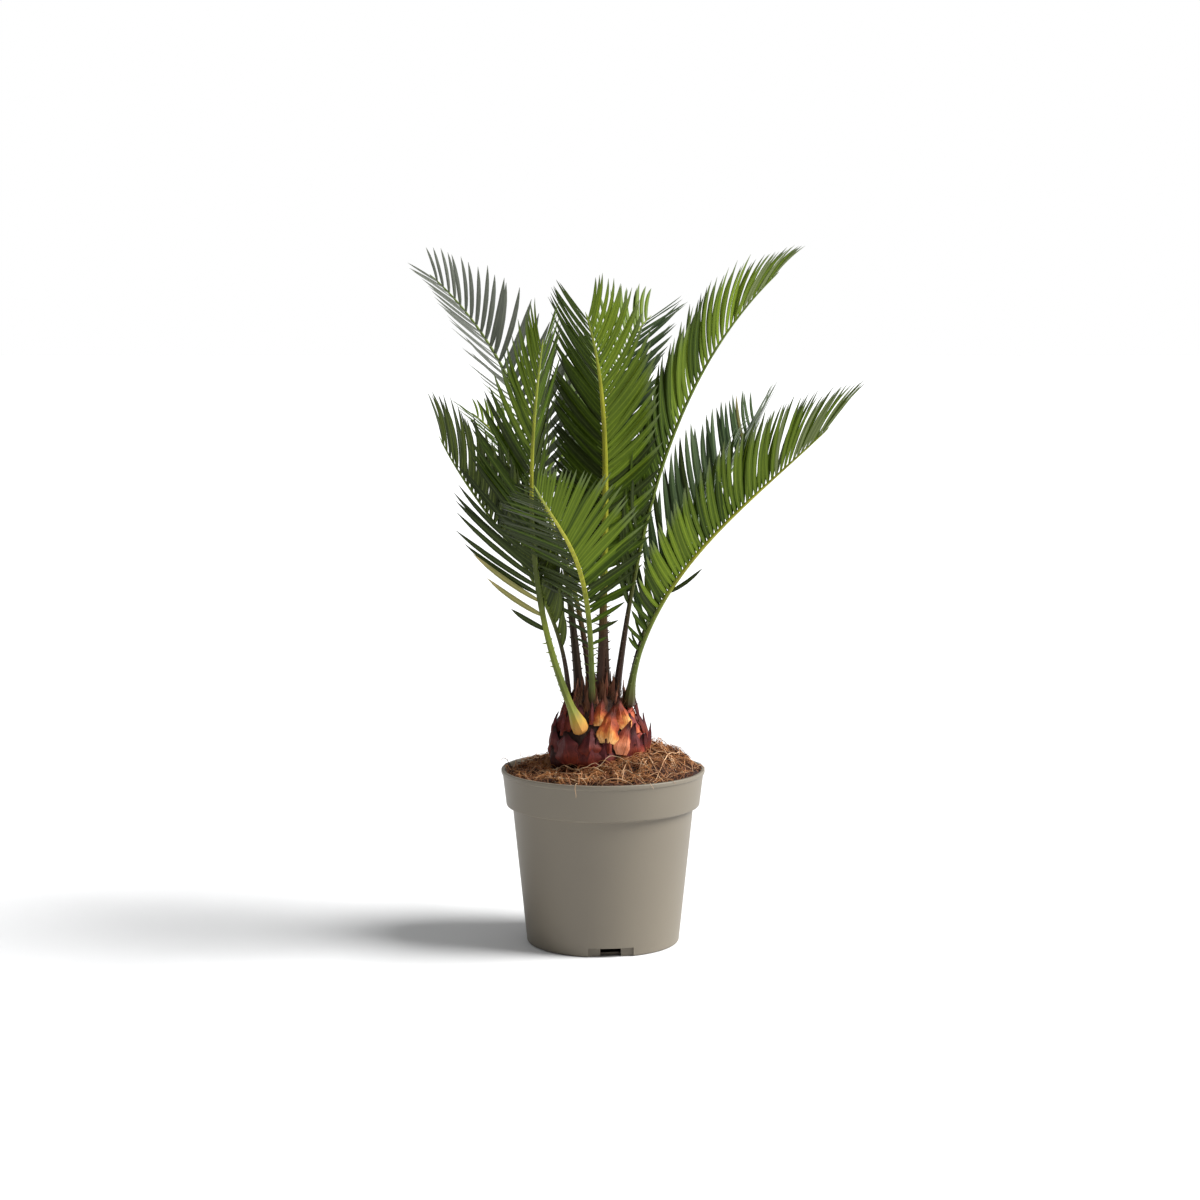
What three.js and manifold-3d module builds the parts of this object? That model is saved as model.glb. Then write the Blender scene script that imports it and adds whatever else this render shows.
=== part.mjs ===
// A young sago palm in its nursery pot: a pot, the growing mix, a scaly trunk and ten fronds.
// Millimetres, +Z up. The origin is the centre of the pot's underside, and -Y is the front.

import * as THREE from "three";
import { ConvexGeometry } from "three/addons/geometries/ConvexGeometry.js";
import { mergeVertices } from "three/addons/utils/BufferGeometryUtils.js";
import Module from "manifold-3d";

// ---------------------------------------------------------------------------------------------
// Driving dimensions
// ---------------------------------------------------------------------------------------------

const POT_HEIGHT = 128.5;
const POT_RIM_RADIUS = 75;
const POT_BASE_RADIUS = 56.2;
const POT_WALL = 1.6;
const POT_SIDES = 48;
const COLLAR_BOTTOM_Z = 101.8;
const COLLAR_BOTTOM_RADIUS = 71.1;
const COLLAR_TOP_RADIUS = 73.9;
const BODY_TOP_Z = 100.6;
const BODY_TOP_RADIUS = 66.6;
const LIP_DEPTH = 3.2;
const EASE = 0.8;

// A drainage notch is a flat step back in the foot of the wall, with an open slot in its middle.
const NOTCH_COUNT = 3;
const NOTCH_FIRST_ANGLE = -84;
const NOTCH_WIDTH = 33;
const NOTCH_STEP = 4;
const NOTCH_HEIGHT = 6.5;
const SLOT_WIDTH = 15;
const SLOT_HEIGHT = 5.5;
const SLOT_DEPTH = 9;

const MIX_EDGE_Z = 127;
const MIX_EDGE_GAP = 1;
const MIX_MOUND = 13;
const MIX_HEAP_RIGHT = 15;
const MIX_SIDES = 40;
const MIX_RINGS = 5;
const MIX_RING_CROWDING = 1.2;
const POCKET_TOP_Z = 152;
const POCKET_STEP = 8;

const TRUNK_CENTRE_X = -3;
const TRUNK_FOOT_Z = 112;
const TRUNK_SIDES = 20;
const TRUNK_PROFILE = [[24, 0], [30, 12], [34, 24], [35, 36], [33, 45], [28, 52], [24, 60], [21, 67], [12, 71], [0, 72]];
const SCALE_ROWS = [
  { z: 126, count: 10, width: 20, height: 23, turn: 0.0 },
  { z: 138, count: 10, width: 19, height: 23, turn: 0.5 },
  { z: 149, count: 9, width: 17, height: 20, turn: 0.1 },
  { z: 160, count: 8, width: 14, height: 20, turn: 0.6 },
  { z: 170, count: 7, width: 9, height: 18, turn: 0.3 },
];
const SCALE_OUT = 3.8;
const SCALE_LEAST = 0.7;

// The corners of a scale: across in half widths, up in heights, and out from the bulb in millimetres.
const SCALE_CORNERS = [
  [-0.8, 0, -4], [0.8, 0, -4], [0, 0, 1.2],
  [-1, 0.35, -2], [1, 0.35, -2], [0, 0.4, SCALE_OUT],
  [-0.5, 0.75, 0], [0.5, 0.75, 0],
  [0, 0.5, -5], [0, 1, SCALE_OUT],
];

const CLEARANCE = 0.35;
const SINK = 8;

const PETIOLE_STEPS = 5;
const SOCKET_STEPS = 3;
const SWELLING = 12.5;
const RIB_HALF_TIP = 0.7;
const RIB_TAPER = 1.3;
const RIB_DEPTH = 0.85;
const LEAFLET_ROOT = 3.4;
const LEAFLET_WIDTH = 4.4;
const LEAFLET_THICKNESS = 0.8;
const LEAFLET_TAIL = 0.9;
const TIP_LEAFLET = 26;
const TIP_LEAFLET_LEAST = 13;

// How much of its room a leaflet fills, how wide its outer half still is, and how near to its width
// another one may pass. A leaflet in another's way is made at the shares in LEAFLET_FITS, or left out.
const LEAFLET_ROOM = 0.72;
const LEAFLET_OUTER = 0.7;
const LEAFLET_NEAR = 0.8;
const RIB_NEAR = 1.5;
const LEAFLET_FITS = [1, 0.78, 0.56];

// Each frond stands on the trunk at `foot` and is `length` long from there to the end of its rib.
// `lean` is the angle from upright at the foot, the middle and the tip. `heading` is the compass
// angle that it leans to at the foot and the tip, from +X towards +Y. Its back faces the angle
// `face`, and `twist` turns the blade by the tip. `lift` raises the row of leaflets at -1 and the one
// at +1 out of the blade's plane. `splay` is the angle between leaflet and rib at the lowest pair, in
// the middle and at the tip, and `curve` is how far a leaflet bends forward. `leaflet` is the longest
// leaflet, `full` how far up the blade that one grows, and `low` and `high` are the shares of it left
// at the lowest pair and at the tip. The leaflets start at the share `bare` of the length. `stalk` is
// the stalk's half width in its swollen foot, above it and where the leaflets start.
const FRONDS = [
  { name: "frond_far_left", foot: [-17, 8, 178], length: 342, lean: [6, 19, 51], heading: [142, 158], face: 105,
    twist: -8, lift: [62, 45], splay: [76, 60, 32], curve: 22, leaflet: 61, full: 0.5, low: 0.45, high: 0.4,
    bare: 0.25, pairs: 26, stalk: [4.8, 3.8, 2] },
  { name: "frond_front_left", foot: [-16, -29, 162], length: 290, lean: [26, 16, 12], heading: [204, 312], face: 330,
    twist: -50, lift: [45, 40], splay: [46, 31, 14], curve: 14, leaflet: 77, full: 0.22, low: 0.35, high: 0.45,
    bare: 0.27, pairs: 27, stalk: [5.6, 3, 2.3] },
  { name: "frond_centre", foot: [-3, -5, 180], length: 286, lean: [7, 8, 32], heading: [-54, -121], face: -60,
    twist: -35, lift: [12, 38], splay: [66, 43, 20], curve: 22, leaflet: 64, full: 0.75, low: 0.5, high: 0.5,
    bare: 0.25, pairs: 27, stalk: [3.8, 3.4, 2.9] },
  { name: "frond_centre_back", foot: [3, 17, 180], length: 313, lean: [4, 19, 59], heading: [121, 51], face: 97,
    twist: -17, lift: [28, 28], splay: [66, 52, 22], curve: 22, leaflet: 56, full: 0.8, low: 0.5, high: 0.58,
    bare: 0.26, pairs: 26, stalk: [3.4, 2.8, 2.2] },
  { name: "frond_tall_right", foot: [9, -3, 180], length: 336, lean: [8, 18, 47], heading: [11, 8], face: -10,
    twist: 14, lift: [50, 50], splay: [20, 27, 10], curve: 26, leaflet: 67, full: 0.6, low: 0.75, high: 0.47,
    bare: 0.2, pairs: 28, stalk: [4.2, 3.5, 2] },
  { name: "frond_low_right", foot: [19, -9, 178], length: 256, lean: [8, 42, 46], heading: [-39, -14], face: -10,
    twist: -8, lift: [58, 58], splay: [56, 44, 16], curve: 16, leaflet: 65, full: 0.64, low: 0.24, high: 0.72,
    bare: 0.15, pairs: 25, stalk: [5.4, 3.8, 2] },
  { name: "frond_back_right", foot: [19, 10, 178], length: 251, lean: [10, 43, 41], heading: [44, 50], face: 30,
    twist: 0, lift: [40, 40], splay: [30, 34, 30], curve: 12, leaflet: 93, full: 0.42, low: 0.7, high: 0.4,
    bare: 0.2, pairs: 21, stalk: [3.4, 2.6, 2] },
  { name: "frond_front", foot: [-8, -16, 178], length: 264, lean: [2, 57, 57], heading: [-93, -107], face: -102,
    twist: 40, lift: [33, 38], splay: [84, 68, 32], curve: 8, leaflet: 58, full: 0.38, low: 0.22, high: 0.26,
    bare: 0.17, pairs: 26, stalk: [2.8, 2.1, 2] },
  { name: "frond_low_left", foot: [-25, -2, 176], length: 225, lean: [3, 36, 26], heading: [240, 190], face: 176,
    twist: 22, lift: [52, 52], splay: [22, 44, 16], curve: 20, leaflet: 71, full: 0.5, low: 0.4, high: 0.56,
    bare: 0.19, pairs: 23, stalk: [2.8, 2.4, 1.8] },
  { name: "frond_back_left", foot: [-9, 17, 180], length: 252, lean: [8, 33, 62], heading: [126, 136], face: 130,
    twist: 0, lift: [28, 28], splay: [66, 45, 24], curve: 22, leaflet: 60, full: 0.5, low: 0.4, high: 0.4,
    bare: 0.27, pairs: 20, stalk: [3.2, 2.6, 2] },
];

const TAUPE = 0x8c8474;
const COIR = 0x6b4a30;
const BARK = 0x5a2a20;
const LEAF = 0x3f6b22;

// ---------------------------------------------------------------------------------------------
// Small helpers
// ---------------------------------------------------------------------------------------------

const wasm = await Module();
wasm.setup();

const radians = THREE.MathUtils.degToRad;
const lerp = THREE.MathUtils.lerp;
const vector = (x, y, z) => new THREE.Vector3(x, y, z);

function meshGeometry(points, faces) {
  const geometry = new THREE.BufferGeometry();
  geometry.setAttribute("position", new THREE.Float32BufferAttribute(points.flatMap((p) => [p.x, p.y, p.z]), 3));
  geometry.setIndex(faces.flat());
  geometry.computeVertexNormals();
  return geometry;
}

function solid(geometry) {
  const bare = geometry.clone();
  bare.deleteAttribute("normal");
  bare.deleteAttribute("uv");
  const merged = mergeVertices(bare, 1e-4);
  const vertProperties = new Float32Array(merged.attributes.position.array);
  const triVerts = new Uint32Array(merged.index.array);
  return new wasm.Manifold(new wasm.Mesh({ numProp: 3, vertProperties, triVerts }));
}

function geometryOf(manifold) {
  const mesh = manifold.getMesh();
  const geometry = new THREE.BufferGeometry();
  geometry.setAttribute("position", new THREE.Float32BufferAttribute(mesh.vertProperties, mesh.numProp));
  geometry.setIndex(Array.from(mesh.triVerts));
  geometry.computeVertexNormals();
  return geometry;
}

// The largest of a cut solid's pieces, without the scraps that a cut leaves loose.
function largest(manifold) {
  return manifold.decompose().reduce((best, piece) => (piece.volume() > best.volume() ? piece : best));
}

function lathe(profile, sides) {
  const points = profile.map(([radius, z]) => new THREE.Vector2(radius, z));
  return new THREE.LatheGeometry(points, sides).rotateX(Math.PI / 2);
}

function block(width, depth, height, x, y, z) {
  return new THREE.BoxGeometry(width, depth, height).translate(x, y, z + height / 2);
}

function named(name, geometry, color, roughness) {
  const material = new THREE.MeshStandardMaterial({ color, roughness, metalness: 0 });
  const mesh = new THREE.Mesh(geometry, material);
  mesh.name = name;
  return mesh;
}

// ---------------------------------------------------------------------------------------------
// The pot: a thin tapered shell with a deep collar, and notches at its foot that drain it
// ---------------------------------------------------------------------------------------------

function potRadiusInside(z) {
  const share = z / BODY_TOP_Z;
  return lerp(POT_BASE_RADIUS, BODY_TOP_RADIUS, share) - POT_WALL;
}

function pot() {
  const outside = [
    [0, 0],
    [POT_BASE_RADIUS - EASE, 0],
    [POT_BASE_RADIUS, EASE],
    [BODY_TOP_RADIUS, BODY_TOP_Z],
  ];
  const profile = [
    ...outside,
    [COLLAR_BOTTOM_RADIUS, COLLAR_BOTTOM_Z],
    [COLLAR_TOP_RADIUS, POT_HEIGHT - LIP_DEPTH - EASE],
    [POT_RIM_RADIUS, POT_HEIGHT - LIP_DEPTH],
    [POT_RIM_RADIUS, POT_HEIGHT - EASE],
    [POT_RIM_RADIUS - EASE, POT_HEIGHT],
    [COLLAR_TOP_RADIUS - POT_WALL, POT_HEIGHT],
    [COLLAR_BOTTOM_RADIUS - POT_WALL, COLLAR_BOTTOM_Z + POT_WALL],
    [BODY_TOP_RADIUS - POT_WALL, BODY_TOP_Z + POT_WALL],
    [potRadiusInside(POT_WALL), POT_WALL],
    [0, POT_WALL],
  ];
  const full = solid(lathe([...outside, [0, BODY_TOP_Z]], POT_SIDES));
  const back = POT_BASE_RADIUS - NOTCH_STEP;
  let shell = solid(lathe(profile, POT_SIDES));
  for (let i = 0; i < NOTCH_COUNT; i += 1) {
    const turn = radians(NOTCH_FIRST_ANGLE + (360 / NOTCH_COUNT) * i);
    const cut = (depth, width, height, from, bottom) => {
      return solid(block(depth, width, height, from + depth / 2, 0, bottom).rotateZ(turn));
    };
    const cover = cut(2 * NOTCH_STEP, NOTCH_WIDTH + 2 * POT_WALL, NOTCH_HEIGHT + POT_WALL, back - POT_WALL, 0);
    const step = cut(2 * NOTCH_STEP, NOTCH_WIDTH, 2 * NOTCH_HEIGHT, back, -NOTCH_HEIGHT);
    const slot = cut(SLOT_DEPTH, SLOT_WIDTH, 2 * SLOT_HEIGHT, back + NOTCH_STEP - SLOT_DEPTH, -SLOT_HEIGHT);
    shell = shell.add(cover.intersect(full)).subtract(step).subtract(slot);
  }
  return named("pot", geometryOf(shell), TAUPE, 0.55);
}

// ---------------------------------------------------------------------------------------------
// The growing mix: it fills the pot, heaps up round the trunk and is higher on the right
// ---------------------------------------------------------------------------------------------

function trunkRadius(z) {
  const height = z - TRUNK_FOOT_Z;
  for (let i = 1; i < TRUNK_PROFILE.length; i += 1) {
    const [r0, h0] = TRUNK_PROFILE[i - 1];
    const [r1, h1] = TRUNK_PROFILE[i];
    if (height <= h1) return lerp(r0, r1, Math.max(0, height - h0) / (h1 - h0));
  }
  return 0;
}

function mixTop(radius, angle, edge) {
  const share = radius / edge;
  return MIX_EDGE_Z + (1 - share ** 2) * (MIX_MOUND + MIX_HEAP_RIGHT * share * Math.cos(angle));
}

function growingMix() {
  const gap = CLEARANCE;
  const notchInside = POT_BASE_RADIUS - SLOT_DEPTH - EASE;
  const notchTop = NOTCH_HEIGHT + POT_WALL + EASE;
  const sides = [
    [notchInside, POT_WALL + gap],
    [notchInside, notchTop],
    [potRadiusInside(notchTop) - gap, notchTop],
    [BODY_TOP_RADIUS - POT_WALL - gap, BODY_TOP_Z + POT_WALL + gap],
    [COLLAR_BOTTOM_RADIUS - POT_WALL - gap, COLLAR_BOTTOM_Z + POT_WALL + 2 * gap],
  ];
  const edge = COLLAR_TOP_RADIUS - POT_WALL - MIX_EDGE_GAP;
  const rings = sides.map(([radius, z]) => ({ radius, height: () => z }));
  for (let i = 0; i < MIX_RINGS; i += 1) {
    const radius = edge * (1 - (i / MIX_RINGS) ** MIX_RING_CROWDING);
    rings.push({ radius, height: (angle) => mixTop(radius, angle, edge) });
  }
  const points = [vector(0, 0, sides[0][1])];
  for (const ring of rings) {
    for (let k = 0; k < MIX_SIDES; k += 1) {
      const angle = (k / MIX_SIDES) * 2 * Math.PI;
      points.push(vector(ring.radius * Math.cos(angle), ring.radius * Math.sin(angle), ring.height(angle)));
    }
  }
  points.push(vector(0, 0, MIX_EDGE_Z + MIX_MOUND));
  const faces = [];
  const at = (ring, k) => 1 + ring * MIX_SIDES + (k % MIX_SIDES);
  for (let k = 0; k < MIX_SIDES; k += 1) {
    faces.push([0, at(0, k + 1), at(0, k)]);
    for (let ring = 1; ring < rings.length; ring += 1) {
      faces.push([at(ring - 1, k), at(ring - 1, k + 1), at(ring, k + 1)]);
      faces.push([at(ring - 1, k), at(ring, k + 1), at(ring, k)]);
    }
    faces.push([at(rings.length - 1, k), at(rings.length - 1, k + 1), points.length - 1]);
  }
  const pocketProfile = [[0, TRUNK_FOOT_Z - gap]];
  for (let z = TRUNK_FOOT_Z - gap; z <= POCKET_TOP_Z; z += POCKET_STEP) {
    pocketProfile.push([trunkRadius(z) + SCALE_OUT + EASE, z]);
  }
  pocketProfile.push([0, pocketProfile.at(-1)[1]]);
  const pocket = lathe(pocketProfile, TRUNK_SIDES).translate(TRUNK_CENTRE_X, 0, 0);
  const mix = solid(meshGeometry(points, faces)).subtract(solid(pocket));
  return named("growing_mix", geometryOf(largest(mix)), COIR, 0.95);
}

// ---------------------------------------------------------------------------------------------
// The fronds: one closed comb each, a four-sided rib whose side faces grow into the leaflets
// ---------------------------------------------------------------------------------------------

function through(foot, middle, tip, t) {
  return foot + (4 * middle - 3 * foot - tip) * t + (2 * foot - 4 * middle + 2 * tip) * t * t;
}

// The rib's centre line with its own directions: `along` it, `up` out of the blade's inner face
// and `side` across the blade.
function ribLine(frond, steps = 60) {
  const line = [];
  const position = vector(...frond.foot);
  const back = vector(Math.cos(radians(frond.face)), Math.sin(radians(frond.face)), 0);
  let up = back.clone().negate();
  for (let i = 0; i <= steps; i += 1) {
    const t = i / steps;
    const lean = radians(through(...frond.lean, t));
    const heading = radians(lerp(...frond.heading, t));
    const along = vector(Math.sin(lean) * Math.cos(heading), Math.sin(lean) * Math.sin(heading), Math.cos(lean));
    up = up.clone().addScaledVector(along, -up.dot(along)).normalize();
    const turned = up.clone().applyAxisAngle(along, radians(frond.twist * t));
    line.push({ t, position: position.clone(), along, up: turned, side: along.clone().cross(turned) });
    position.addScaledVector(along, frond.length / steps);
  }
  return line;
}

function stationAt(line, t) {
  const place = THREE.MathUtils.clamp(t, 0, 1) * (line.length - 1);
  const low = Math.min(Math.floor(place), line.length - 2);
  const share = place - low;
  const mix = (key) => line[low][key].clone().lerp(line[low + 1][key], share);
  const station = { t, position: mix("position"), along: mix("along").normalize() };
  station.up = mix("up").normalize();
  station.side = mix("side").normalize();
  return station;
}

function leafletLength(frond, share) {
  const rise = frond.low + (1 - frond.low) * Math.sin((Math.PI / 2) * Math.min(share / frond.full, 1));
  const fall = Math.max(share - frond.full, 0) / (1 - frond.full);
  const tail = frond.high + (1 - frond.high) * Math.cos((Math.PI / 2) * fall) ** LEAFLET_TAIL;
  return frond.leaflet * (share < frond.full ? rise : tail);
}

// A leaflet's course: its root on the rib, its middle and its tip, bending forward on the way.
function leafletCourse(frond, line, share, hand, scale) {
  const t = frond.bare + (1 - frond.bare) * share;
  const station = stationAt(line, t);
  const splay = through(...frond.splay, share);
  const lift = radians(frond.lift[hand < 0 ? 0 : 1]);
  const outward = station.side.clone().multiplyScalar(hand * Math.cos(lift));
  outward.addScaledVector(station.up, Math.sin(lift));
  const half = (leafletLength(frond, share) * scale) / 2;
  const heading = (angle) => {
    const course = station.along.clone().multiplyScalar(Math.cos(radians(angle)));
    return course.addScaledVector(outward, Math.sin(radians(angle)));
  };
  const lower = heading(splay + frond.curve / 4);
  const upper = heading(splay - frond.curve / 4);
  const root = station.position.clone();
  const middle = root.clone().addScaledVector(lower, half);
  const tip = middle.clone().addScaledVector(upper, half);
  const spacing = (frond.length * (1 - frond.bare)) / frond.pairs;
  const room = LEAFLET_ROOM * spacing * Math.sin(radians(splay));
  const width = Math.min(LEAFLET_WIDTH, room);
  const across = station.along.clone().addScaledVector(lower, -station.along.dot(lower)).normalize();
  return { root, middle, tip, across, normal: lower.clone().cross(across).normalize(), width };
}

function segmentGap(a0, a1, b0, b1) {
  const u = a1.clone().sub(a0);
  const v = b1.clone().sub(b0);
  const w = a0.clone().sub(b0);
  const uu = u.dot(u);
  const uv = u.dot(v);
  const vv = v.dot(v);
  const uw = u.dot(w);
  const vw = v.dot(w);
  const spread = uu * vv - uv * uv;
  let s = spread > 1e-9 ? THREE.MathUtils.clamp((uv * vw - vv * uw) / spread, 0, 1) : 0;
  const r = THREE.MathUtils.clamp((uv * s + vw) / vv, 0, 1);
  s = THREE.MathUtils.clamp((uv * r - uw) / uu, 0, 1);
  return a0.clone().addScaledVector(u, s).distanceTo(b0.clone().addScaledVector(v, r));
}

// Everything that a leaflet must keep clear of, as straight stretches with half their width.
const taken = [];

function stretchesOf(course, owner) {
  const reach = course.width / 2;
  return [
    { owner, from: course.root, to: course.middle, reach },
    { owner, from: course.middle, to: course.tip, reach: reach * LEAFLET_OUTER },
  ];
}

function isClear(stretches) {
  return stretches.every((own) => taken.every((other) => {
    if (other.owner === own.owner) return true;
    const needed = LEAFLET_NEAR * (own.reach + other.reach) + 2 * CLEARANCE;
    return segmentGap(own.from, own.to, other.from, other.to) > needed;
  }));
}

function ribHalf(frond, t) {
  const [foot, stalk, blade] = frond.stalk;
  const share = Math.max(t, 0) / frond.bare;
  if (share >= 1) return lerp(blade, RIB_HALF_TIP, ((t - frond.bare) / (1 - frond.bare)) ** RIB_TAPER);
  const swell = Math.exp(-((share * frond.bare * frond.length / SWELLING) ** 2));
  return lerp(stalk, blade, share) + (foot - stalk) * swell;
}

function ribSection(station, half) {
  const across = station.side.clone().multiplyScalar(half);
  const over = station.up.clone().multiplyScalar(half * RIB_DEPTH);
  const corner = (a, b) => station.position.clone().addScaledVector(across, a).addScaledVector(over, b);
  return [corner(1, 1), corner(1, -1), corner(-1, -1), corner(-1, 1)];
}

function sunkFoot(line) {
  const foot = line[0];
  return { ...foot, position: foot.position.clone().addScaledVector(foot.along, -SINK) };
}

class Comb {
  constructor() {
    this.points = [];
    this.faces = [];
  }

  ring(corners) {
    const first = this.points.length;
    this.points.push(...corners);
    return corners.map((_, i) => first + i);
  }

  quad(a, b, c, d) {
    this.faces.push([a, b, c], [a, c, d]);
  }

  // Joins two four-cornered rings, leaving open the sides named in `open`.
  bridge(low, high, open = []) {
    for (let i = 0; i < 4; i += 1) {
      const j = (i + 1) % 4;
      if (!open.includes(i)) this.quad(low[i], low[j], high[j], high[i]);
    }
  }

  // Closes a ring to a point.
  point(ring, tip) {
    const apex = this.ring([tip])[0];
    for (let i = 0; i < 4; i += 1) this.faces.push([ring[i], ring[(i + 1) % 4], apex]);
  }

  // Grows a leaflet out of the open side `i` between two rings.
  leaflet(course, low, high, i) {
    const { middle, tip, across, normal, width } = course;
    const j = (i + 1) % 4;
    const corner = (a, b) => {
      const edge = middle.clone().addScaledVector(across, (a * width) / 2);
      return edge.addScaledVector(normal, (b * LEAFLET_THICKNESS) / 2);
    };
    const blade = this.ring([corner(-1, 1), corner(-1, -1), corner(1, -1), corner(1, 1)]);
    this.bridge([low[i], low[j], high[j], high[i]], blade);
    this.point(blade, tip);
  }
}

function frondMesh(frond) {
  const line = ribLine(frond);
  const comb = new Comb();
  let last = comb.ring(ribSection(sunkFoot(line), ribHalf(frond, 0)));
  comb.quad(last[3], last[2], last[1], last[0]);
  for (let i = 0; i < PETIOLE_STEPS; i += 1) {
    const t = (i / PETIOLE_STEPS) * frond.bare;
    const next = comb.ring(ribSection(stationAt(line, t), ribHalf(frond, t)));
    comb.bridge(last, next);
    last = next;
  }
  for (let i = 0; i < frond.pairs; i += 1) {
    const share = (i + 0.5) / frond.pairs;
    const t = frond.bare + (1 - frond.bare) * share;
    const halfRoot = LEAFLET_ROOT / 2 / frond.length;
    const low = comb.ring(ribSection(stationAt(line, t - halfRoot), ribHalf(frond, t)));
    const high = comb.ring(ribSection(stationAt(line, t + halfRoot), ribHalf(frond, t)));
    comb.bridge(last, low);
    const open = [];
    for (const hand of [1, -1]) {
      for (const scale of LEAFLET_FITS) {
        const course = leafletCourse(frond, line, share, hand, scale);
        const stretches = stretchesOf(course, frond.name);
        if (!isClear(stretches)) continue;
        taken.push(...stretches);
        const openSide = hand > 0 ? 0 : 2;
        comb.leaflet(course, low, high, openSide);
        open.push(openSide);
        break;
      }
    }
    comb.bridge(low, high, open);
    last = high;
  }
  const end = line.at(-1);
  const reach = THREE.MathUtils.clamp(frond.leaflet * frond.high, TIP_LEAFLET_LEAST, TIP_LEAFLET);
  comb.point(last, end.position.clone().addScaledVector(end.along, reach));
  return named(frond.name, meshGeometry(comb.points, comb.faces), LEAF, 0.4);
}

// ---------------------------------------------------------------------------------------------
// The trunk: a squat bulb cut flat at its foot, clad in pointed old leaf bases
// ---------------------------------------------------------------------------------------------

function leafBase(row, angle) {
  const radius = trunkRadius(row.z);
  const radiusHigh = Math.max(trunkRadius(row.z + row.height), radius * SCALE_LEAST);
  const points = SCALE_CORNERS.map(([across, high, out]) => {
    const reach = lerp(radius, radiusHigh, high) + out;
    return vector(reach, across * (row.width / 2), row.z + high * row.height);
  });
  return new ConvexGeometry(points).rotateZ(angle).translate(TRUNK_CENTRE_X, 0, 0);
}

// The hole that a frond's foot stands in, with clearance all round it.
function socket(frond) {
  const line = ribLine(frond);
  const comb = new Comb();
  const around = (station) => comb.ring(ribSection(station, ribHalf(frond, station.t) + CLEARANCE / RIB_DEPTH));
  const bottom = sunkFoot(line);
  bottom.position.addScaledVector(bottom.along, -CLEARANCE);
  let last = around(bottom);
  comb.quad(last[3], last[2], last[1], last[0]);
  for (let i = 0; i <= SOCKET_STEPS; i += 1) {
    const next = around(stationAt(line, (i / PETIOLE_STEPS) * frond.bare));
    comb.bridge(last, next);
    last = next;
  }
  comb.quad(...last);
  return solid(meshGeometry(comb.points, comb.faces));
}

function trunk() {
  const profile = [[0, TRUNK_FOOT_Z], ...TRUNK_PROFILE.map(([radius, high]) => [radius, TRUNK_FOOT_Z + high])];
  let body = solid(lathe(profile, TRUNK_SIDES).translate(TRUNK_CENTRE_X, 0, 0));
  for (const row of SCALE_ROWS) {
    for (let k = 0; k < row.count; k += 1) {
      const angle = ((k + row.turn) / row.count) * 2 * Math.PI;
      body = body.add(solid(leafBase(row, angle)));
    }
  }
  for (const frond of FRONDS) body = body.subtract(socket(frond));
  return named("trunk", geometryOf(largest(body)), BARK, 0.85);
}

// ---------------------------------------------------------------------------------------------
// The whole plant
// ---------------------------------------------------------------------------------------------

const plant = new THREE.Group();
for (const frond of FRONDS) {
  const line = ribLine(frond, 16);
  for (let i = 1; i < line.length; i += 1) {
    const from = i === 1 ? sunkFoot(line).position : line[i - 1].position;
    taken.push({ owner: frond.name, from, to: line[i].position, reach: ribHalf(frond, line[i].t) * RIB_NEAR });
  }
}
plant.add(pot(), growingMix(), trunk());
for (const frond of FRONDS) plant.add(frondMesh(frond));

export default plant;
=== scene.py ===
# %% [markdown]
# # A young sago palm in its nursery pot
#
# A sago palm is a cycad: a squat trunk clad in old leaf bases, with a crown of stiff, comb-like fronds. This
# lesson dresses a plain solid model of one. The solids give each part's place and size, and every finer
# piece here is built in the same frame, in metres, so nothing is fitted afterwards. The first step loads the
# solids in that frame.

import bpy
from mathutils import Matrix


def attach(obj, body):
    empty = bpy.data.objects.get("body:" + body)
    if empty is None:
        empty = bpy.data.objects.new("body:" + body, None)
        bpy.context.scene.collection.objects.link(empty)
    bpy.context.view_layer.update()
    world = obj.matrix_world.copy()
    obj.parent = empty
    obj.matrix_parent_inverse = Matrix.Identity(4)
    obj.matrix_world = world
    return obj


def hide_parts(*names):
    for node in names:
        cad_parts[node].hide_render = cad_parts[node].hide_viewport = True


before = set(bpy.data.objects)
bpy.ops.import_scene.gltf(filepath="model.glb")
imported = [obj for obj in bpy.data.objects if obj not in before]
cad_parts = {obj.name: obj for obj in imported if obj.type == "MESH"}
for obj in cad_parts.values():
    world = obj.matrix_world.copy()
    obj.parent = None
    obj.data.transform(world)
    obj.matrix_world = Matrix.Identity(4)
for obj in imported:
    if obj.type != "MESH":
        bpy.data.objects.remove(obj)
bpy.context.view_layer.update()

# %% Import the tools
import math

import bmesh
import bpy
import numpy as np
from mathutils import Matrix, Vector

MM = 0.001
print("tools of version", bpy.app.version_string, "ready")

# %% [markdown]
# ## The camera
#
# The view is a catalogue one: a long lens nearly two metres away, near the height of the plant's top,
# tipped down by about six degrees. A long lens keeps the pot's rim a thin ellipse. The camera could
# track an empty, but a place and one angle say the same with nothing to go wrong.

# %% Set the camera
CAMERA_PLACE = (-0.0022, -1.8, 0.45)
CAMERA_DIP = math.radians(6.25)
CAMERA_LENS = 74.25


def put_in_scene(name, data):
    """A new object in the scene, made of a camera, a lamp or a mesh."""
    thing = bpy.data.objects.new(name, data)
    bpy.context.scene.collection.objects.link(thing)
    return thing


camera = put_in_scene("camera", bpy.data.cameras.new("camera"))
camera.data.lens = CAMERA_LENS
camera.location = CAMERA_PLACE
camera.rotation_euler = (math.pi / 2 - CAMERA_DIP, 0, 0)
bpy.context.scene.camera = camera
print("camera", CAMERA_PLACE, "lens", CAMERA_LENS)

# %% [markdown]
# ## Node trees written as Python
#
# Materials, the studio's walls and the Geometry Nodes below are all node trees. Adding nodes by hand
# takes many lines, so one small class adds any node, and another wraps an output so that plain
# arithmetic on it adds the Math nodes. `1 - mask` works because the reflected forms are there too.

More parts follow.
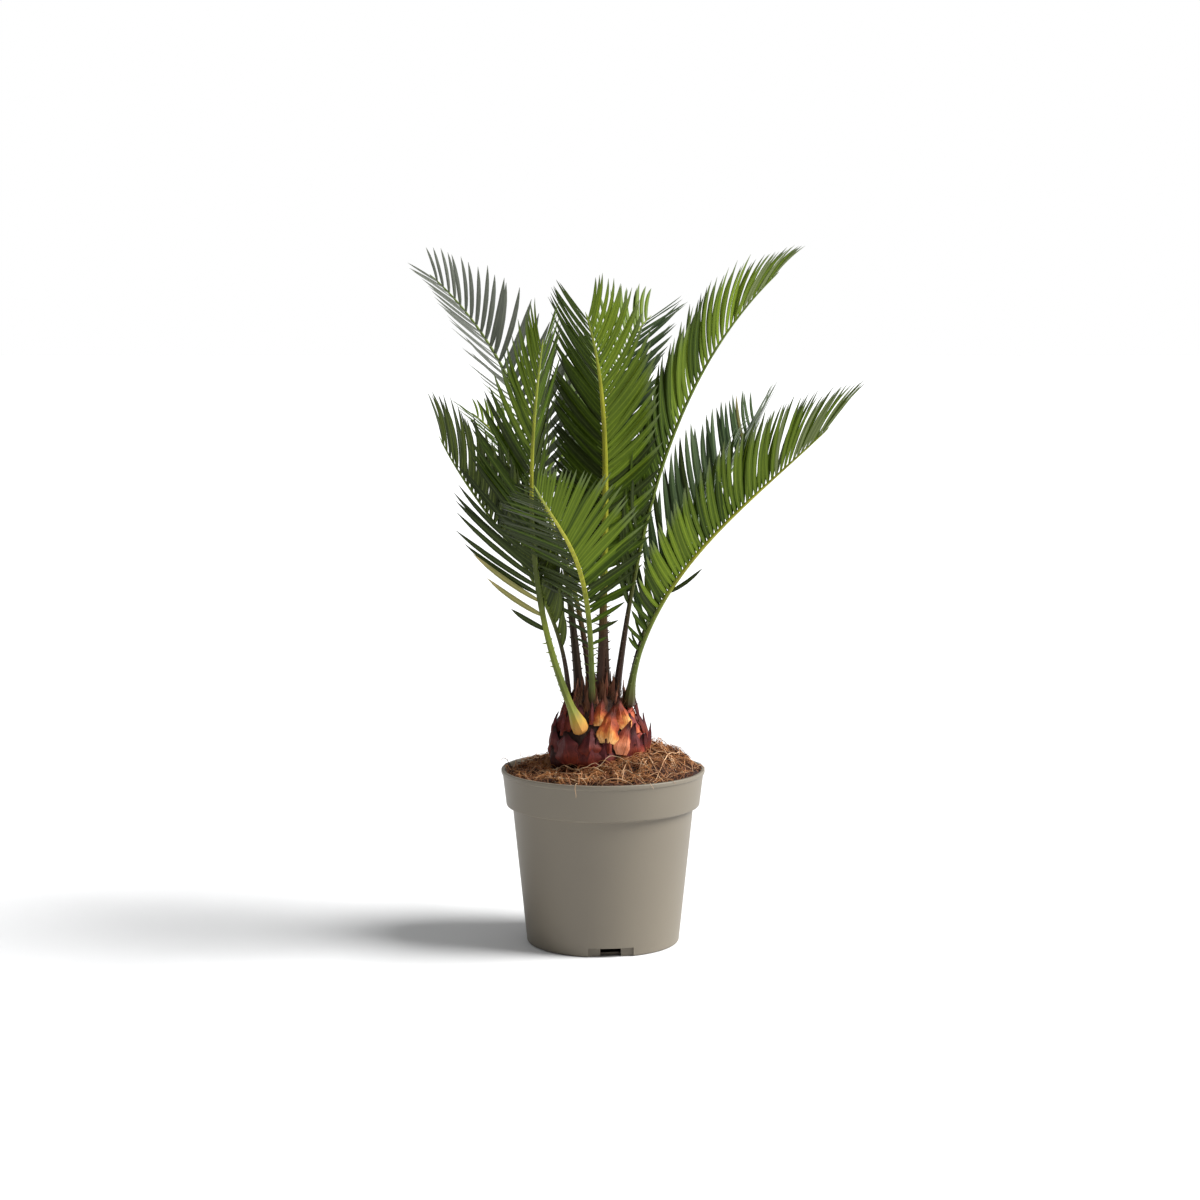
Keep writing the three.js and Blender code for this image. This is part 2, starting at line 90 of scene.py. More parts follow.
# %% Wrap a node's output
class Wire:
    """One output of a node. Arithmetic on it adds the Math node that does the sum."""

    def __init__(self, graph, socket):
        self.graph = graph
        self.socket = socket

    def maths(self, operation, *terms):
        return self.graph.node("ShaderNodeMath", {"operation": operation}, dict(enumerate(terms)))

    def __add__(self, other):
        return self.maths("ADD", self, other)

    def __sub__(self, other):
        return self.maths("SUBTRACT", self, other)

    def __rsub__(self, other):
        return self.maths("SUBTRACT", other, self)

    def __mul__(self, other):
        return self.maths("MULTIPLY", self, other)

    def __abs__(self):
        return self.maths("ABSOLUTE", self)

    __radd__ = __add__
    __rmul__ = __mul__


# %% Add any node with one method
class Graph:
    """A node tree. `node` adds one node: its settings first, then the values or links of its sockets."""

    def __init__(self, tree):
        self.tree = tree

    def node(self, kind, settings=None, inputs=None, output=0):
        node = self.tree.nodes.new(kind)
        for name, value in (settings or {}).items():
            if name == "stops":
                self.set_stops(node.color_ramp, value)
            else:
                setattr(node, name, value)
        for name, value in (inputs or {}).items():
            self.feed(node.inputs[name], value)
        return Wire(self, node.outputs[output])

    def feed(self, socket, value):
        if isinstance(value, Wire):
            self.tree.links.new(value.socket, socket)
        else:
            socket.default_value = value

    def set_stops(self, ramp, stops):
        while len(ramp.elements) < len(stops):
            ramp.elements.new(1)
        for element, (place, colour) in zip(ramp.elements, stops):
            element.position = place
            element.color = colour

    def blend(self, mask, first, second):
        """The colour `first` where the mask is 0 and `second` where it is 1."""
        return self.node("ShaderNodeMix", {"data_type": "RGBA"}, {0: mask, 6: first, 7: second}, output=2)


def paint(code):
    """A colour written as six hex digits, as the linear values that Blender works in."""
    parts = [int(code[i:i + 2], 16) / 255 for i in (1, 3, 5)]
    return tuple(p / 12.92 if p <= 0.04045 else ((p + 0.055) / 1.055) ** 2.4 for p in parts) + (1,)


print("node helpers ready, mid taupe is", [round(part, 3) for part in paint("#8c8474")])

# %% [markdown]
# ## The studio
#
# A white sweep with one big soft lamp on the right. The floor is a plain disc, wide enough to reach
# the horizon. The walls are the world's colour: white low down behind the plant, dark to the sides and
# in front, and pale overhead, so the plant keeps its shadows. A Sun lamp stands for the softbox,
# because its light doesn't fade with distance, and its wide angle gives the shadow a soft end.

# %% Light the studio
LAMP_SIDE = math.radians(-8)
LAMP_HEIGHT = math.radians(42)
LAMP_ANGLE = math.radians(34)
LAMP_STRENGTH = 5.9
BACKDROP_WHITE = (1, 1, 1, 1)
ROOM_GREY = (0.12, 0.122, 0.125, 1)
CEILING_GREY = (0.55, 0.56, 0.57, 1)

lamp = put_in_scene("softbox", bpy.data.lights.new("softbox", "SUN"))
lamp.data.energy = LAMP_STRENGTH
lamp.data.angle = LAMP_ANGLE
towards_lamp = Vector((math.cos(LAMP_HEIGHT) * math.cos(LAMP_SIDE),
                       math.cos(LAMP_HEIGHT) * math.sin(LAMP_SIDE), math.sin(LAMP_HEIGHT)))
lamp.rotation_euler = towards_lamp.to_track_quat("Z", "Y").to_euler()

world = bpy.data.worlds.new("studio_walls")
world.use_nodes = True
bpy.context.scene.world = world
walls = Graph(world.node_tree)
direction = walls.node("ShaderNodeTexCoord", output="Generated")
height = walls.node("ShaderNodeSeparateXYZ", inputs={0: direction}, output="Z")
behind = walls.node("ShaderNodeSeparateXYZ", inputs={0: direction}, output="Y")
low = walls.node("ShaderNodeMapRange", inputs={"Value": height, "From Min": 0.45, "From Max": 0.2})
back = walls.node("ShaderNodeMapRange", inputs={"Value": behind, "From Min": 0.1, "From Max": 0.6})
above = walls.node("ShaderNodeMapRange", inputs={"Value": height, "From Min": 0.6, "From Max": 0.8})
shade = walls.blend(above, walls.blend(low * back, ROOM_GREY, BACKDROP_WHITE), CEILING_GREY)
walls.feed(world.node_tree.nodes["Background"].inputs["Color"], shade)
bpy.context.scene.view_settings.view_transform = "Standard"
print("lamp at", round(math.degrees(LAMP_HEIGHT)), "degrees, strength", LAMP_STRENGTH)

# %% [markdown]
# ## Finishes
#
# Every finish starts from Blender's Principled shader. What is the same all over a surface is set on
# the shader itself, and only what changes is fed by nodes. `speckle` is a noise in the object's own
# coordinates, so it stays on the piece when the camera moves.

# %% Start a finish
class Finish(Graph):
    """A material: a Principled shader, its roughness and specular level, and the nodes that feed it."""

    def __init__(self, name, roughness, specular=0.5):
        self.material = bpy.data.materials.new(name)
        self.material.use_nodes = True
        super().__init__(self.material.node_tree)
        self.shader = self.tree.nodes["Principled BSDF"]
        self.shader.inputs["Roughness"].default_value = roughness
        self.shader.inputs["Specular IOR Level"].default_value = specular

    def speckle(self, scale, detail=2.0, stretch=(1, 1, 1)):
        place = self.node("ShaderNodeTexCoord", output="Object")
        place = self.node("ShaderNodeMapping", inputs={"Vector": place, "Scale": stretch})
        sizes = {"Vector": place, "Scale": scale, "Detail": detail}
        return self.node("ShaderNodeTexNoise", inputs=sizes)

    def mark(self, name):
        """A value that the mesh carries, such as how far along a leaflet a point is."""
        return self.node("ShaderNodeAttribute", {"attribute_name": name}, output="Fac")

    def ramp(self, factor, stops):
        stops = [(place, paint(code)) for place, code in stops]
        return self.node("ShaderNodeValToRGB", {"stops": stops}, {0: factor})

    def step(self, value, low, high):
        """0 below `low`, 1 above `high`, and straight in between."""
        inputs = {"Value": value, "From Min": low, "From Max": high}
        return self.node("ShaderNodeMapRange", inputs=inputs)

    def colour(self, wire):
        self.feed(self.shader.inputs["Base Color"], wire)

    def mottle(self, mask, dark, light):
        """Colours the surface `dark` where the mask is 0 and `light` where it is 1."""
        self.colour(self.blend(mask, paint(dark), paint(light)))

    def rough(self, wire):
        self.feed(self.shader.inputs["Roughness"], wire)

    def bump(self, height, distance, strength=0.5):
        sizes = {"Height": height, "Distance": distance, "Strength": strength}
        self.feed(self.shader.inputs["Normal"], self.node("ShaderNodeBump", inputs=sizes))


# %% Lay the floor
FLOOR_RADIUS = 40.0
FLOOR_DROP = 0.0003


def from_shape(name, shape):
    """An object from a shape that was being edited, which is then let go."""
    mesh = bpy.data.meshes.new(name)
    shape.to_mesh(mesh)
    shape.free()
    return put_in_scene(name, mesh)


floor_paint = Finish("floor_paint", 0.9, 0.1)
floor_paint.shader.inputs["Base Color"].default_value = (0.8, 0.8, 0.8, 1)
disc = bmesh.new()
bmesh.ops.create_circle(disc, cap_ends=True, segments=64, radius=FLOOR_RADIUS,
                        matrix=Matrix.Translation((0, 0, -FLOOR_DROP)))
floor = from_shape("floor", disc)
floor.data.materials.append(floor_paint.material)
print("floor", FLOOR_RADIUS * 2, "m across")

# %% [markdown]
# ## Making meshes
#
# Most pieces of a plant are tapering bodies, and a row of rings skinned over makes any of them. Spin
# and Skin modifiers could do some, but they leave open poles. `loft` closes both ends on a middle
# point, turns all faces outward and marks the sharp edges, and every piece gets its place in its mesh.

# %% Make plain meshes and mark their points
SHARP = math.radians(38)


def new_mesh(name, points, faces, edges=()):
    mesh = bpy.data.meshes.new(name)
    mesh.from_pydata([tuple(p) for p in points], edges, faces)
    return put_in_scene(name, mesh)


def turn_outward(thing):
    shape = bmesh.new()
    shape.from_mesh(thing.data)
    bmesh.ops.recalc_face_normals(shape, faces=shape.faces)
    shape.to_mesh(thing.data)
    shape.free()
    thing.data.shade_smooth()
    thing.data.set_sharp_from_angle(angle=SHARP)


def give_marks(thing, marks):
    """Stores values on the points of a mesh, each under its own name."""
    for name, values in marks.items():
        values = np.asarray(values, np.float32)
        kind, field = ("FLOAT_VECTOR", "vector") if values.ndim == 2 else ("FLOAT", "value")
        thing.data.attributes.new(name, kind, "POINT").data.foreach_set(field, values.ravel())


# %% Skin rings into a closed body
def loft(name, rings):
    """A closed body through rings that all have as many points, with a middle point at each end."""
    rings = np.asarray(rings, float)
    rows, count = rings.shape[:2]
    points = np.vstack([rings.reshape(-1, 3), rings[0].mean(0), rings[-1].mean(0)])
    faces = []
    for k in range(count):
        after = (k + 1) % count
        faces.append((after, k, rows * count))
        faces.append(((rows - 1) * count + k, (rows - 1) * count + after, rows * count + 1))
        for row in range(rows - 1):
            low, high = row * count, (row + 1) * count
            faces.append((low + k, low + after, high + after, high + k))
    thing = new_mesh(name, points, faces)
    turn_outward(thing)
    return thing


# %% Turn an outline about the upright axis
def lathe(name, outline, sides, centre_x=0.0):
    """A body of revolution. The outline is a list of (radius, height) from its foot to its top."""
    turn = np.arange(sides) / sides * 2 * math.pi
    rings = [np.stack([centre_x + r * np.cos(turn), r * np.sin(turn), np.full(sides, z)], 1)
             for r, z in outline]
    return loft(name, rings)


def rounded(corners, steps=6):
    """An outline whose corners, given as (radius, height, rounding), are eased by short arcs."""
    corners = np.array(corners, float)
    outline = [corners[0, :2]]
    for before, corner, after in zip(corners, corners[1:], corners[2:]):
        place = corner[:2]
        ends = []
        for other in (before[:2], after[:2]):
            away = other - place
            length = np.linalg.norm(away)
            ends.append(place + away / length * min(corner[2], length * 0.45))
        for t in np.linspace(0, 1, steps):
            outline.append((1 - t) ** 2 * ends[0] + 2 * t * (1 - t) * place + t ** 2 * ends[1])
    outline.append(corners[-1, :2])
    return outline


# %% Keep what a modifier makes
def settle(thing):
    """Makes what the object's modifiers give its own plain mesh, and takes the modifiers off."""
    evaluated = bpy.context.evaluated_depsgraph_get()
    made = bpy.data.meshes.new_from_object(thing.evaluated_get(evaluated), preserve_all_data_layers=True,
                                           depsgraph=evaluated)
    rough_mesh = thing.data
    thing.modifiers.clear()
    thing.data = made
    bpy.data.meshes.remove(rough_mesh)
    made.name = thing.name


def belongs(thing, finish, slot, *nodes):
    """Gives a finished piece its material, sets it on the root body and hides the solids that it stands for.
    """
    if finish:
        thing.data.materials.clear()
        thing.data.materials.append(finish.material)
    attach(thing, "root")
    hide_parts(*nodes)
    print(f"{thing.name}: {len(thing.data.polygons)} faces")


# %% [markdown]
# ## The pot
#
# A nursery pot is a thin tapered shell, blown or pressed in one piece, with a deep collar that
# stiffens the rim and a rolled lip on top of it. It is a body of revolution, so its outline is turned
# on a lathe, with each corner eased by the radius that moulded plastic needs. Three drainage notches
# at the foot are then cut with Boolean modifiers, as they break the round shape.

# %% Turn the shell
POT_HEIGHT = 128.5 * MM
POT_RIM_RADIUS = 75 * MM
POT_BASE_RADIUS = 56.2 * MM
POT_WALL = 1.6 * MM
POT_SIDES = 192
COLLAR_BOTTOM_Z = 101.8 * MM
COLLAR_BOTTOM_RADIUS = 71.1 * MM
COLLAR_TOP_RADIUS = 73.9 * MM
BODY_TOP_Z = 100.6 * MM
BODY_TOP_RADIUS = 66.6 * MM
LIP_DEPTH = 3.2 * MM
EASE = 1 * MM

pot_outline = rounded([
    (0.5 * MM, 0, 0),
    (POT_BASE_RADIUS, 0, 1.2 * EASE),
    (BODY_TOP_RADIUS, BODY_TOP_Z, 0.4 * EASE),
    (COLLAR_BOTTOM_RADIUS, COLLAR_BOTTOM_Z, 0.9 * EASE),
    (COLLAR_TOP_RADIUS, POT_HEIGHT - LIP_DEPTH - 0.3 * MM, 0.6 * EASE),
    (POT_RIM_RADIUS - 0.2 * MM, POT_HEIGHT - LIP_DEPTH + 0.2 * MM, 0.6 * EASE),
    (POT_RIM_RADIUS, POT_HEIGHT, 0.9 * EASE),
    (COLLAR_TOP_RADIUS - POT_WALL, POT_HEIGHT, 0.8 * EASE),
    (COLLAR_BOTTOM_RADIUS - POT_WALL, COLLAR_BOTTOM_Z + POT_WALL, 1 * EASE),
    (BODY_TOP_RADIUS - POT_WALL, BODY_TOP_Z + POT_WALL, 1 * EASE),
    (POT_BASE_RADIUS - POT_WALL, POT_WALL, 1 * EASE),
    (0.5 * MM, POT_WALL, 0),
])
pot_shell = lathe("pot_shell", pot_outline, POT_SIDES)
print("pot outline of", len(pot_outline), "points")

# %% Make blocks that cut
def cut_block(name, size, inner, bottom, turn):
    """A box, `size` deep, wide and high, with its inner face `inner` from the axis."""
    centre = (inner + size[0] / 2, 0, bottom + size[2] / 2)
    shape = bmesh.new()
    bmesh.ops.create_cube(shape, matrix=Matrix.Rotation(turn, 4, "Z") @ Matrix.Translation(centre)
                          @ Matrix.Diagonal((*size, 1)))
    return from_shape(name, shape)


def carve(body, tool, operation):
    change = body.modifiers.new(operation.lower(), "BOOLEAN")
    change.operation = operation
    change.object = tool
    settle(body)
    bpy.data.objects.remove(tool)


# %% Cut the drainage notches
NOTCH_COUNT = 3
NOTCH_FIRST_ANGLE = math.radians(-84)
NOTCH_WIDTH = 33 * MM
NOTCH_STEP = 4 * MM
NOTCH_HEIGHT = 6.5 * MM
SLOT_WIDTH = 15 * MM
SLOT_HEIGHT = 5.5 * MM
SLOT_DEPTH = 9 * MM
COVER_BOTTOM = 0.2 * MM

notch_back = POT_BASE_RADIUS - NOTCH_STEP
for i in range(NOTCH_COUNT):
    turn = NOTCH_FIRST_ANGLE + i * 2 * math.pi / NOTCH_COUNT
    cover = cut_block("cover", (2 * NOTCH_STEP, NOTCH_WIDTH + 2 * POT_WALL, NOTCH_HEIGHT + POT_WALL),
                      notch_back - POT_WALL, COVER_BOTTOM, turn)
    limit = lathe("limit", [(POT_BASE_RADIUS - POT_WALL / 2, -1 * MM), (POT_BASE_RADIUS, 15 * MM)],
                  POT_SIDES)
    carve(cover, limit, "INTERSECT")
    carve(pot_shell, cover, "UNION")
    step = (2 * NOTCH_STEP, NOTCH_WIDTH, 2 * NOTCH_HEIGHT)
    carve(pot_shell, cut_block("step", step, notch_back, -NOTCH_HEIGHT, turn), "DIFFERENCE")
    slot = (SLOT_DEPTH, SLOT_WIDTH, 2 * SLOT_HEIGHT)
    carve(pot_shell, cut_block("slot", slot, POT_BASE_RADIUS - SLOT_DEPTH, -SLOT_HEIGHT, turn), "DIFFERENCE")
pot_shell.data.set_sharp_from_angle(angle=SHARP)
print("notches cut, now", len(pot_shell.data.polygons), "faces")

# %% [markdown]
# The plastic is a taupe that is matt but not dead: it has the fine grain of a pressed surface and
# small differences in sheen where it has been handled. A texture could be painted, but two noises do
# it. One coarse and faint noise shifts the colour and roughness, and a very fine one gives the grain.

# %% Finish the pot
pot_plastic = Finish("pot_plastic", 0.5)
clouds = pot_plastic.speckle(18, 3)
grain = pot_plastic.speckle(1400, 1)
pot_plastic.mottle(clouds, "#726a5d", "#7a7263")
pot_plastic.rough(0.44 + 0.14 * clouds)
pot_plastic.bump(grain, 0.05 * MM, 0.25)
belongs(pot_shell, pot_plastic, "pot", "pot")

# %% [markdown]
# ## Sweeping sections along lines
#
# Leaflets, ribs, spines, roots and coir fibres are all the same thing: a small section carried along
# a line, thick here and thin there. Bevelled curves could do it one by one, but a Geometry Nodes tree
# does thousands at once. Each line is a chain of points that carry three values: `up`, the way the
# section's back faces, `reach`, its half width there, and `along`, which the finishes read.

# %% Start, end and run a recipe
def recipe(name, sizes):
    """An empty Geometry Nodes tree with a mesh going in and out and the named inputs in `sizes`."""
    tree = bpy.data.node_groups.new(name, "GeometryNodeTree")
    tree.interface.new_socket("Geometry", in_out="INPUT", socket_type="NodeSocketGeometry")
    for label, kind in sizes.items():
        tree.interface.new_socket(label, in_out="INPUT", socket_type="NodeSocket" + kind)
    tree.interface.new_socket("Geometry", in_out="OUTPUT", socket_type="NodeSocketGeometry")
    graph = Graph(tree)
    entry = tree.nodes.new("NodeGroupInput")
    graph.given = {socket.name: Wire(graph, socket) for socket in entry.outputs if socket.name}
    return graph


def serve(graph, geometry, finish):
    """Ends a recipe: its instances are made real and take their material."""
    real = graph.node("GeometryNodeRealizeInstances", inputs={0: geometry})
    smooth = graph.node("GeometryNodeSetShadeSmooth", inputs={0: real})
    dressed = graph.node("GeometryNodeSetMaterial", inputs={0: smooth, "Material": finish})
    leave = graph.tree.nodes.new("NodeGroupOutput")
    graph.feed(leave.inputs[0], dressed)


def cook(thing, graph, **values):
    """Runs a recipe on an object, with its inputs set by name, and keeps the mesh that it makes."""
    change = thing.modifiers.new(graph.tree.name, "NODES")
    change.node_group = graph.tree
    for socket in graph.tree.interface.items_tree:
        if socket.in_out == "INPUT" and socket.name in values:
            change[socket.identifier] = values[socket.name]
    settle(thing)
    thing.data.set_sharp_from_angle(angle=SHARP)


def carried(graph, name, kind):
    return graph.node("GeometryNodeInputNamedAttribute", {"data_type": kind}, {"Name": name})


# %% Build the sweep recipe
sweep = recipe("sweep_lines", {"Section": "Object", "Finish": "Material"})
spine = sweep.node("GeometryNodeMeshToCurve", inputs={0: sweep.given["Geometry"]})
spine = sweep.node("GeometryNodeSetCurveNormal", {"mode": "FREE"},
                   {0: spine, "Normal": carried(sweep, "up", "FLOAT_VECTOR")})
section = sweep.node("GeometryNodeObjectInfo", inputs={0: sweep.given["Section"]}, output="Geometry")
section = sweep.node("GeometryNodeMeshToCurve", inputs={0: section})
skin = sweep.node("GeometryNodeCurveToMesh", inputs={0: spine, 1: section, "Fill Caps": True,
                                                     "Scale": carried(sweep, "reach", "FLOAT")})
serve(sweep, skin, sweep.given["Finish"])
print("sweep recipe of", len(sweep.tree.nodes), "nodes")


# %% Draw sections and lines for it
def draw_section(name, corners):
    """A closed outline of (up, side) corners on a half width of 1. Each keeps its side as `across`."""
    count = len(corners)
    edges = [(i, (i + 1) % count) for i in range(count)]
    ring = new_mesh(name, [(up, side, 0) for up, side in corners], [], edges)
    give_marks(ring, {"across": [side for up, side in corners]})
    ring.hide_render = True
    return ring


def sweep_lines(name, lines, section, finish, slot, node):
    """One finished piece from many lines, each made by `course`."""
    starts = np.cumsum([0] + [len(line["points"]) for line in lines])
    edges = [(a, a + 1) for start, end in zip(starts, starts[1:]) for a in range(start, end - 1)]
    thing = new_mesh(name, np.vstack([line["points"] for line in lines]), [], edges)
    for key in ("up", "reach", "along"):
        give_marks(thing, {key: np.concatenate([line[key] for line in lines])})
    cook(thing, sweep, Section=section, Finish=finish.material)
    for key in ("up", "reach"):
        thing.data.attributes.remove(thing.data.attributes[key])
    belongs(thing, finish, slot, node)


def course(points, up, reach, along):
    """A line for `sweep_lines`. Its `up`, one for all points or one for each, is squared to the line."""
    ahead = np.gradient(points, axis=0)
    ahead /= np.linalg.norm(ahead, axis=1)[:, None]
    up = up - ahead * (up * ahead).sum(1)[:, None]
    up /= np.linalg.norm(up, axis=1)[:, None]
    return {"points": points, "up": up, "reach": reach, "along": along}


circle = np.arange(8) / 8 * 2 * math.pi
ROUND_SECTION = draw_section("round_section", [(0.85 * math.sin(a), math.cos(a)) for a in circle])
FIBRE_SECTION = draw_section("fibre_section", [(math.sin(a), math.cos(a)) for a in circle[::3]])
BLADE_SECTION = draw_section("blade_section", [(-0.14, -1), (0.0, -0.55), (0.17, 0), (0.0, 0.55),
                                               (-0.14, 1), (-0.2, 0)])
print("a leaflet's section has", len(BLADE_SECTION.data.vertices), "corners")

# %% [markdown]
# ## The growing mix
#
# The pot is filled with coir: brown dust and crumbs, heaped round the trunk, higher on the right and
# hollow in front, under a felt of tangled fibres. First comes the mound itself, a grid of rings whose
# heights follow the heap's rule with two sizes of lumps on top. Sculpting would do, but a rule can be
# read again.

# %% Give the mound its heights
MIX_EDGE_Z = 127 * MM
MIX_MOUND = 13 * MM
MIX_HEAP_RIGHT = 15 * MM
MIX_EDGE_RADIUS = COLLAR_TOP_RADIUS - POT_WALL - 0.9 * MM
MIX_SINK = 2.2 * MM
MIX_SINK_SIDE = math.radians(150)
MIX_DIP = 6 * MM
MIX_DIP_SIDE = math.radians(-100)
MIX_LUMPS = [(15 * MM, 1.5 * MM, 3), (4.5 * MM, 0.6 * MM, 4)]


def ripples(places, size, seed, waves=28):
    """Smooth seeded relief, mostly between -1 and 1, whose lumps are about `size` across."""
    draw = np.random.default_rng(seed)
    ways = draw.normal(size=(waves, places.shape[-1]))
    ways /= np.linalg.norm(ways, axis=1)[:, None]
    ways *= (2 * math.pi / size / draw.uniform(1.2, 2.6, waves))[:, None]
    return np.cos(places @ ways.T + draw.uniform(0, 2 * math.pi, waves)).sum(-1) / math.sqrt(waves)


def mix_height(x, y):
    share = np.minimum(np.hypot(x, y) / MIX_EDGE_RADIUS, 1)
    angle = np.arctan2(y, x)
    dip = MIX_DIP * np.maximum(np.cos(angle - MIX_DIP_SIDE), 0) ** 2
    heap = (1 - share ** 2) * (MIX_MOUND + MIX_HEAP_RIGHT * share * np.cos(angle) - dip)
    places = np.stack([x, y], -1)
    lumps = sum(rise * ripples(places, size, seed) for size, rise, seed in MIX_LUMPS)
    sunk = MIX_SINK * share ** 3 * np.maximum(np.cos(angle - MIX_SINK_SIDE), 0)
    return MIX_EDGE_Z + heap + lumps * (1 - 0.6 * share ** 6) - sunk - 0.5 * MM * share ** 6


# %% Heap the mound
MIX_SIDES = 180
MIX_ROWS = 56
MIX_SKIRT = [(20 * MM, 100 * MM), (COLLAR_BOTTOM_RADIUS - POT_WALL - 1.5 * MM, 104 * MM)]

mix_turn = np.arange(MIX_SIDES) / MIX_SIDES * 2 * math.pi
mix_rings = []
way_x, way_y = np.cos(mix_turn), np.sin(mix_turn)
for radius, z in MIX_SKIRT:
    mix_rings.append(np.stack([radius * way_x, radius * way_y, np.full(MIX_SIDES, z)], 1))
for share in np.linspace(1, 0.02, MIX_ROWS):
    x, y = share * MIX_EDGE_RADIUS * way_x, share * MIX_EDGE_RADIUS * way_y
    mix_rings.append(np.stack([x, y, mix_height(x, y)], 1))
mix_mound = loft("mix_mound", mix_rings)
print("mound top at", round(max(ring[:, 2].max() for ring in mix_rings) / MM), "mm")

# %% Finish the mound
coir_dust = Finish("coir_dust", 0.95)
crumbly = coir_dust.speckle(160, 4)
coir_dust.colour(coir_dust.ramp(crumbly, [(0.35, "#1a0b05"), (0.5, "#3a1c0e"), (0.62, "#663d25")]))
coir_dust.bump(coir_dust.speckle(520, 3), 1.2 * MM, 0.9)
belongs(mix_mound, coir_dust, "growing_mix", "growing_mix")

# %% [markdown]
# Crumbs are strewn over the mound by a second recipe: points dealt over its faces by a seeded node,
# with one of a few lumpy shapes on each, turned and sized at random. A particle system would do the
# same, but it isn't exported, and this ends in plain mesh.

# %% Build the strewing recipe
def picked(graph, spots, **how):
    """One of the shapes in the collection `Shapes` on each spot, turned and sized as `how` says."""
    inputs = {0: graph.given["Shapes"], "Separate Children": True, "Reset Children": True}
    shapes = graph.node("GeometryNodeCollectionInfo", inputs=inputs)
    how = {name.replace("_", " "): value for name, value in how.items()}
    inputs = {0: spots, "Instance": shapes, "Pick Instance": True, **how}
    return graph.node("GeometryNodeInstanceOnPoints", inputs=inputs)


strew = recipe("strew_shapes", {"Shapes": "Collection", "Density": "Float", "Seed": "Int",
                                "Smallest": "Float", "Largest": "Float", "Finish": "Material"})
seed = strew.given["Seed"]
dealt = {0: strew.given["Geometry"], "Density": strew.given["Density"], "Seed": seed}
spots = strew.node("GeometryNodeDistributePointsOnFaces", inputs=dealt)
any_turn = strew.node("FunctionNodeRandomValue", {"data_type": "FLOAT_VECTOR"},
                      {1: (2 * math.pi,) * 3, "Seed": seed})
sizes = {2: strew.given["Smallest"], 3: strew.given["Largest"], "Seed": seed}
any_size = strew.node("FunctionNodeRandomValue", {"data_type": "FLOAT"}, sizes, output=1)
serve(strew, picked(strew, spots, Rotation=any_turn, Scale=any_size), strew.given["Finish"])
print("strewing recipe of", len(strew.tree.nodes), "nodes")


# %% Model lumps and shelve them
def shelf(name, things):
    """Puts shapes that recipes pick from into a collection that isn't shown."""
    kept = bpy.data.collections.new(name)
    for thing in things:
        bpy.context.scene.collection.objects.unlink(thing)
        kept.objects.link(thing)
    return kept


def lump(name, seed, stretch):
    shape = bmesh.new()
    bmesh.ops.create_icosphere(shape, subdivisions=1, radius=1)
    places = np.array([v.co for v in shape.verts])
    swell = 1 + 0.35 * ripples(places, 1.6, seed)
    for vert, place, more in zip(shape.verts, places, swell):
        vert.co = place * more * stretch
    return from_shape(name, shape)


# %% Strew crumbs and chips
BARE_RADIUS = 24 * MM
CRUMBS_PER_SQUARE_METRE = 110000.0
CHIPS_PER_SQUARE_METRE = 2600.0


def strew_over(name, shapes, density, seed, smallest, largest, finish):
    """Strews shapes over the mound's upper side, inside the rim and outside the trunk."""
    faces = []
    for face in mix_mound.data.polygons:
        if face.normal.z > 0.3 and BARE_RADIUS < face.center.xy.length < MIX_EDGE_RADIUS - 1 * MM:
            faces.append(list(face.vertices))
    thing = new_mesh(name, [v.co for v in mix_mound.data.vertices], faces)
    cook(thing, strew, Shapes=shapes, Density=density, Seed=seed, Smallest=smallest, Largest=largest,
         Finish=finish.material)
    belongs(thing, None, "growing_mix", "growing_mix")


crumb_brown = Finish("crumb_brown", 0.95)
crumb_brown.mottle(crumb_brown.speckle(300), "#200e06", "#583219")
chip_pale = Finish("chip_pale", 0.8)
chip_pale.mottle(chip_pale.speckle(400), "#8c6a45", "#d9c39a")
crumbs = shelf("crumb_shapes", [lump(f"crumb_{i}", 20 + i, (1, 0.8, 0.6)) for i in range(4)])
chips = shelf("chip_shapes", [lump(f"chip_{i}", 30 + i, (1, 0.45, 0.3)) for i in range(3)])
strew_over("mix_crumbs", crumbs, CRUMBS_PER_SQUARE_METRE, 5, 0.4 * MM, 1.3 * MM, crumb_brown)
strew_over("mix_chips", chips, CHIPS_PER_SQUARE_METRE, 9, 0.8 * MM, 2.2 * MM, chip_pale)

# %% [markdown]
# ## Coir fibres, straws and roots
#
# The felt on top is fibre by fibre: each starts somewhere on the mound, wanders as its heading turns,
# rises off the mix in the middle and comes down again, or over the rim. Hair particles can't be told
# to lie like that, so each course is a short walk in code, and the sweep recipe gives it thickness.
# Three shades of fibre are dealt out as plain colours, brown, tan and straw.

# %% Walk a fibre over the mound
FIBRE_POINTS = 9
FIBRE_SHAPE = ([0, 0.15, 0.7, 1], [0.5, 1, 0.9, 0.25])
NEARLY_UP = (0.01, 0.02, 1.0)
OFF_MIX = 0.2 * MM
OFF_RIM = 0.35 * MM
RIM_MARGIN = 0.6 * MM
OVERHANG = 1.6


def over_mix(x, y):
    """How low a fibre may lie: on the mix, on the pot's rim, or hanging down outside it."""
    out = np.hypot(x, y)
    low = np.where(out > MIX_EDGE_RADIUS - RIM_MARGIN, POT_HEIGHT + OFF_RIM, mix_height(x, y) + OFF_MIX)
    return low - np.maximum(out - POT_RIM_RADIUS, 0) * OVERHANG


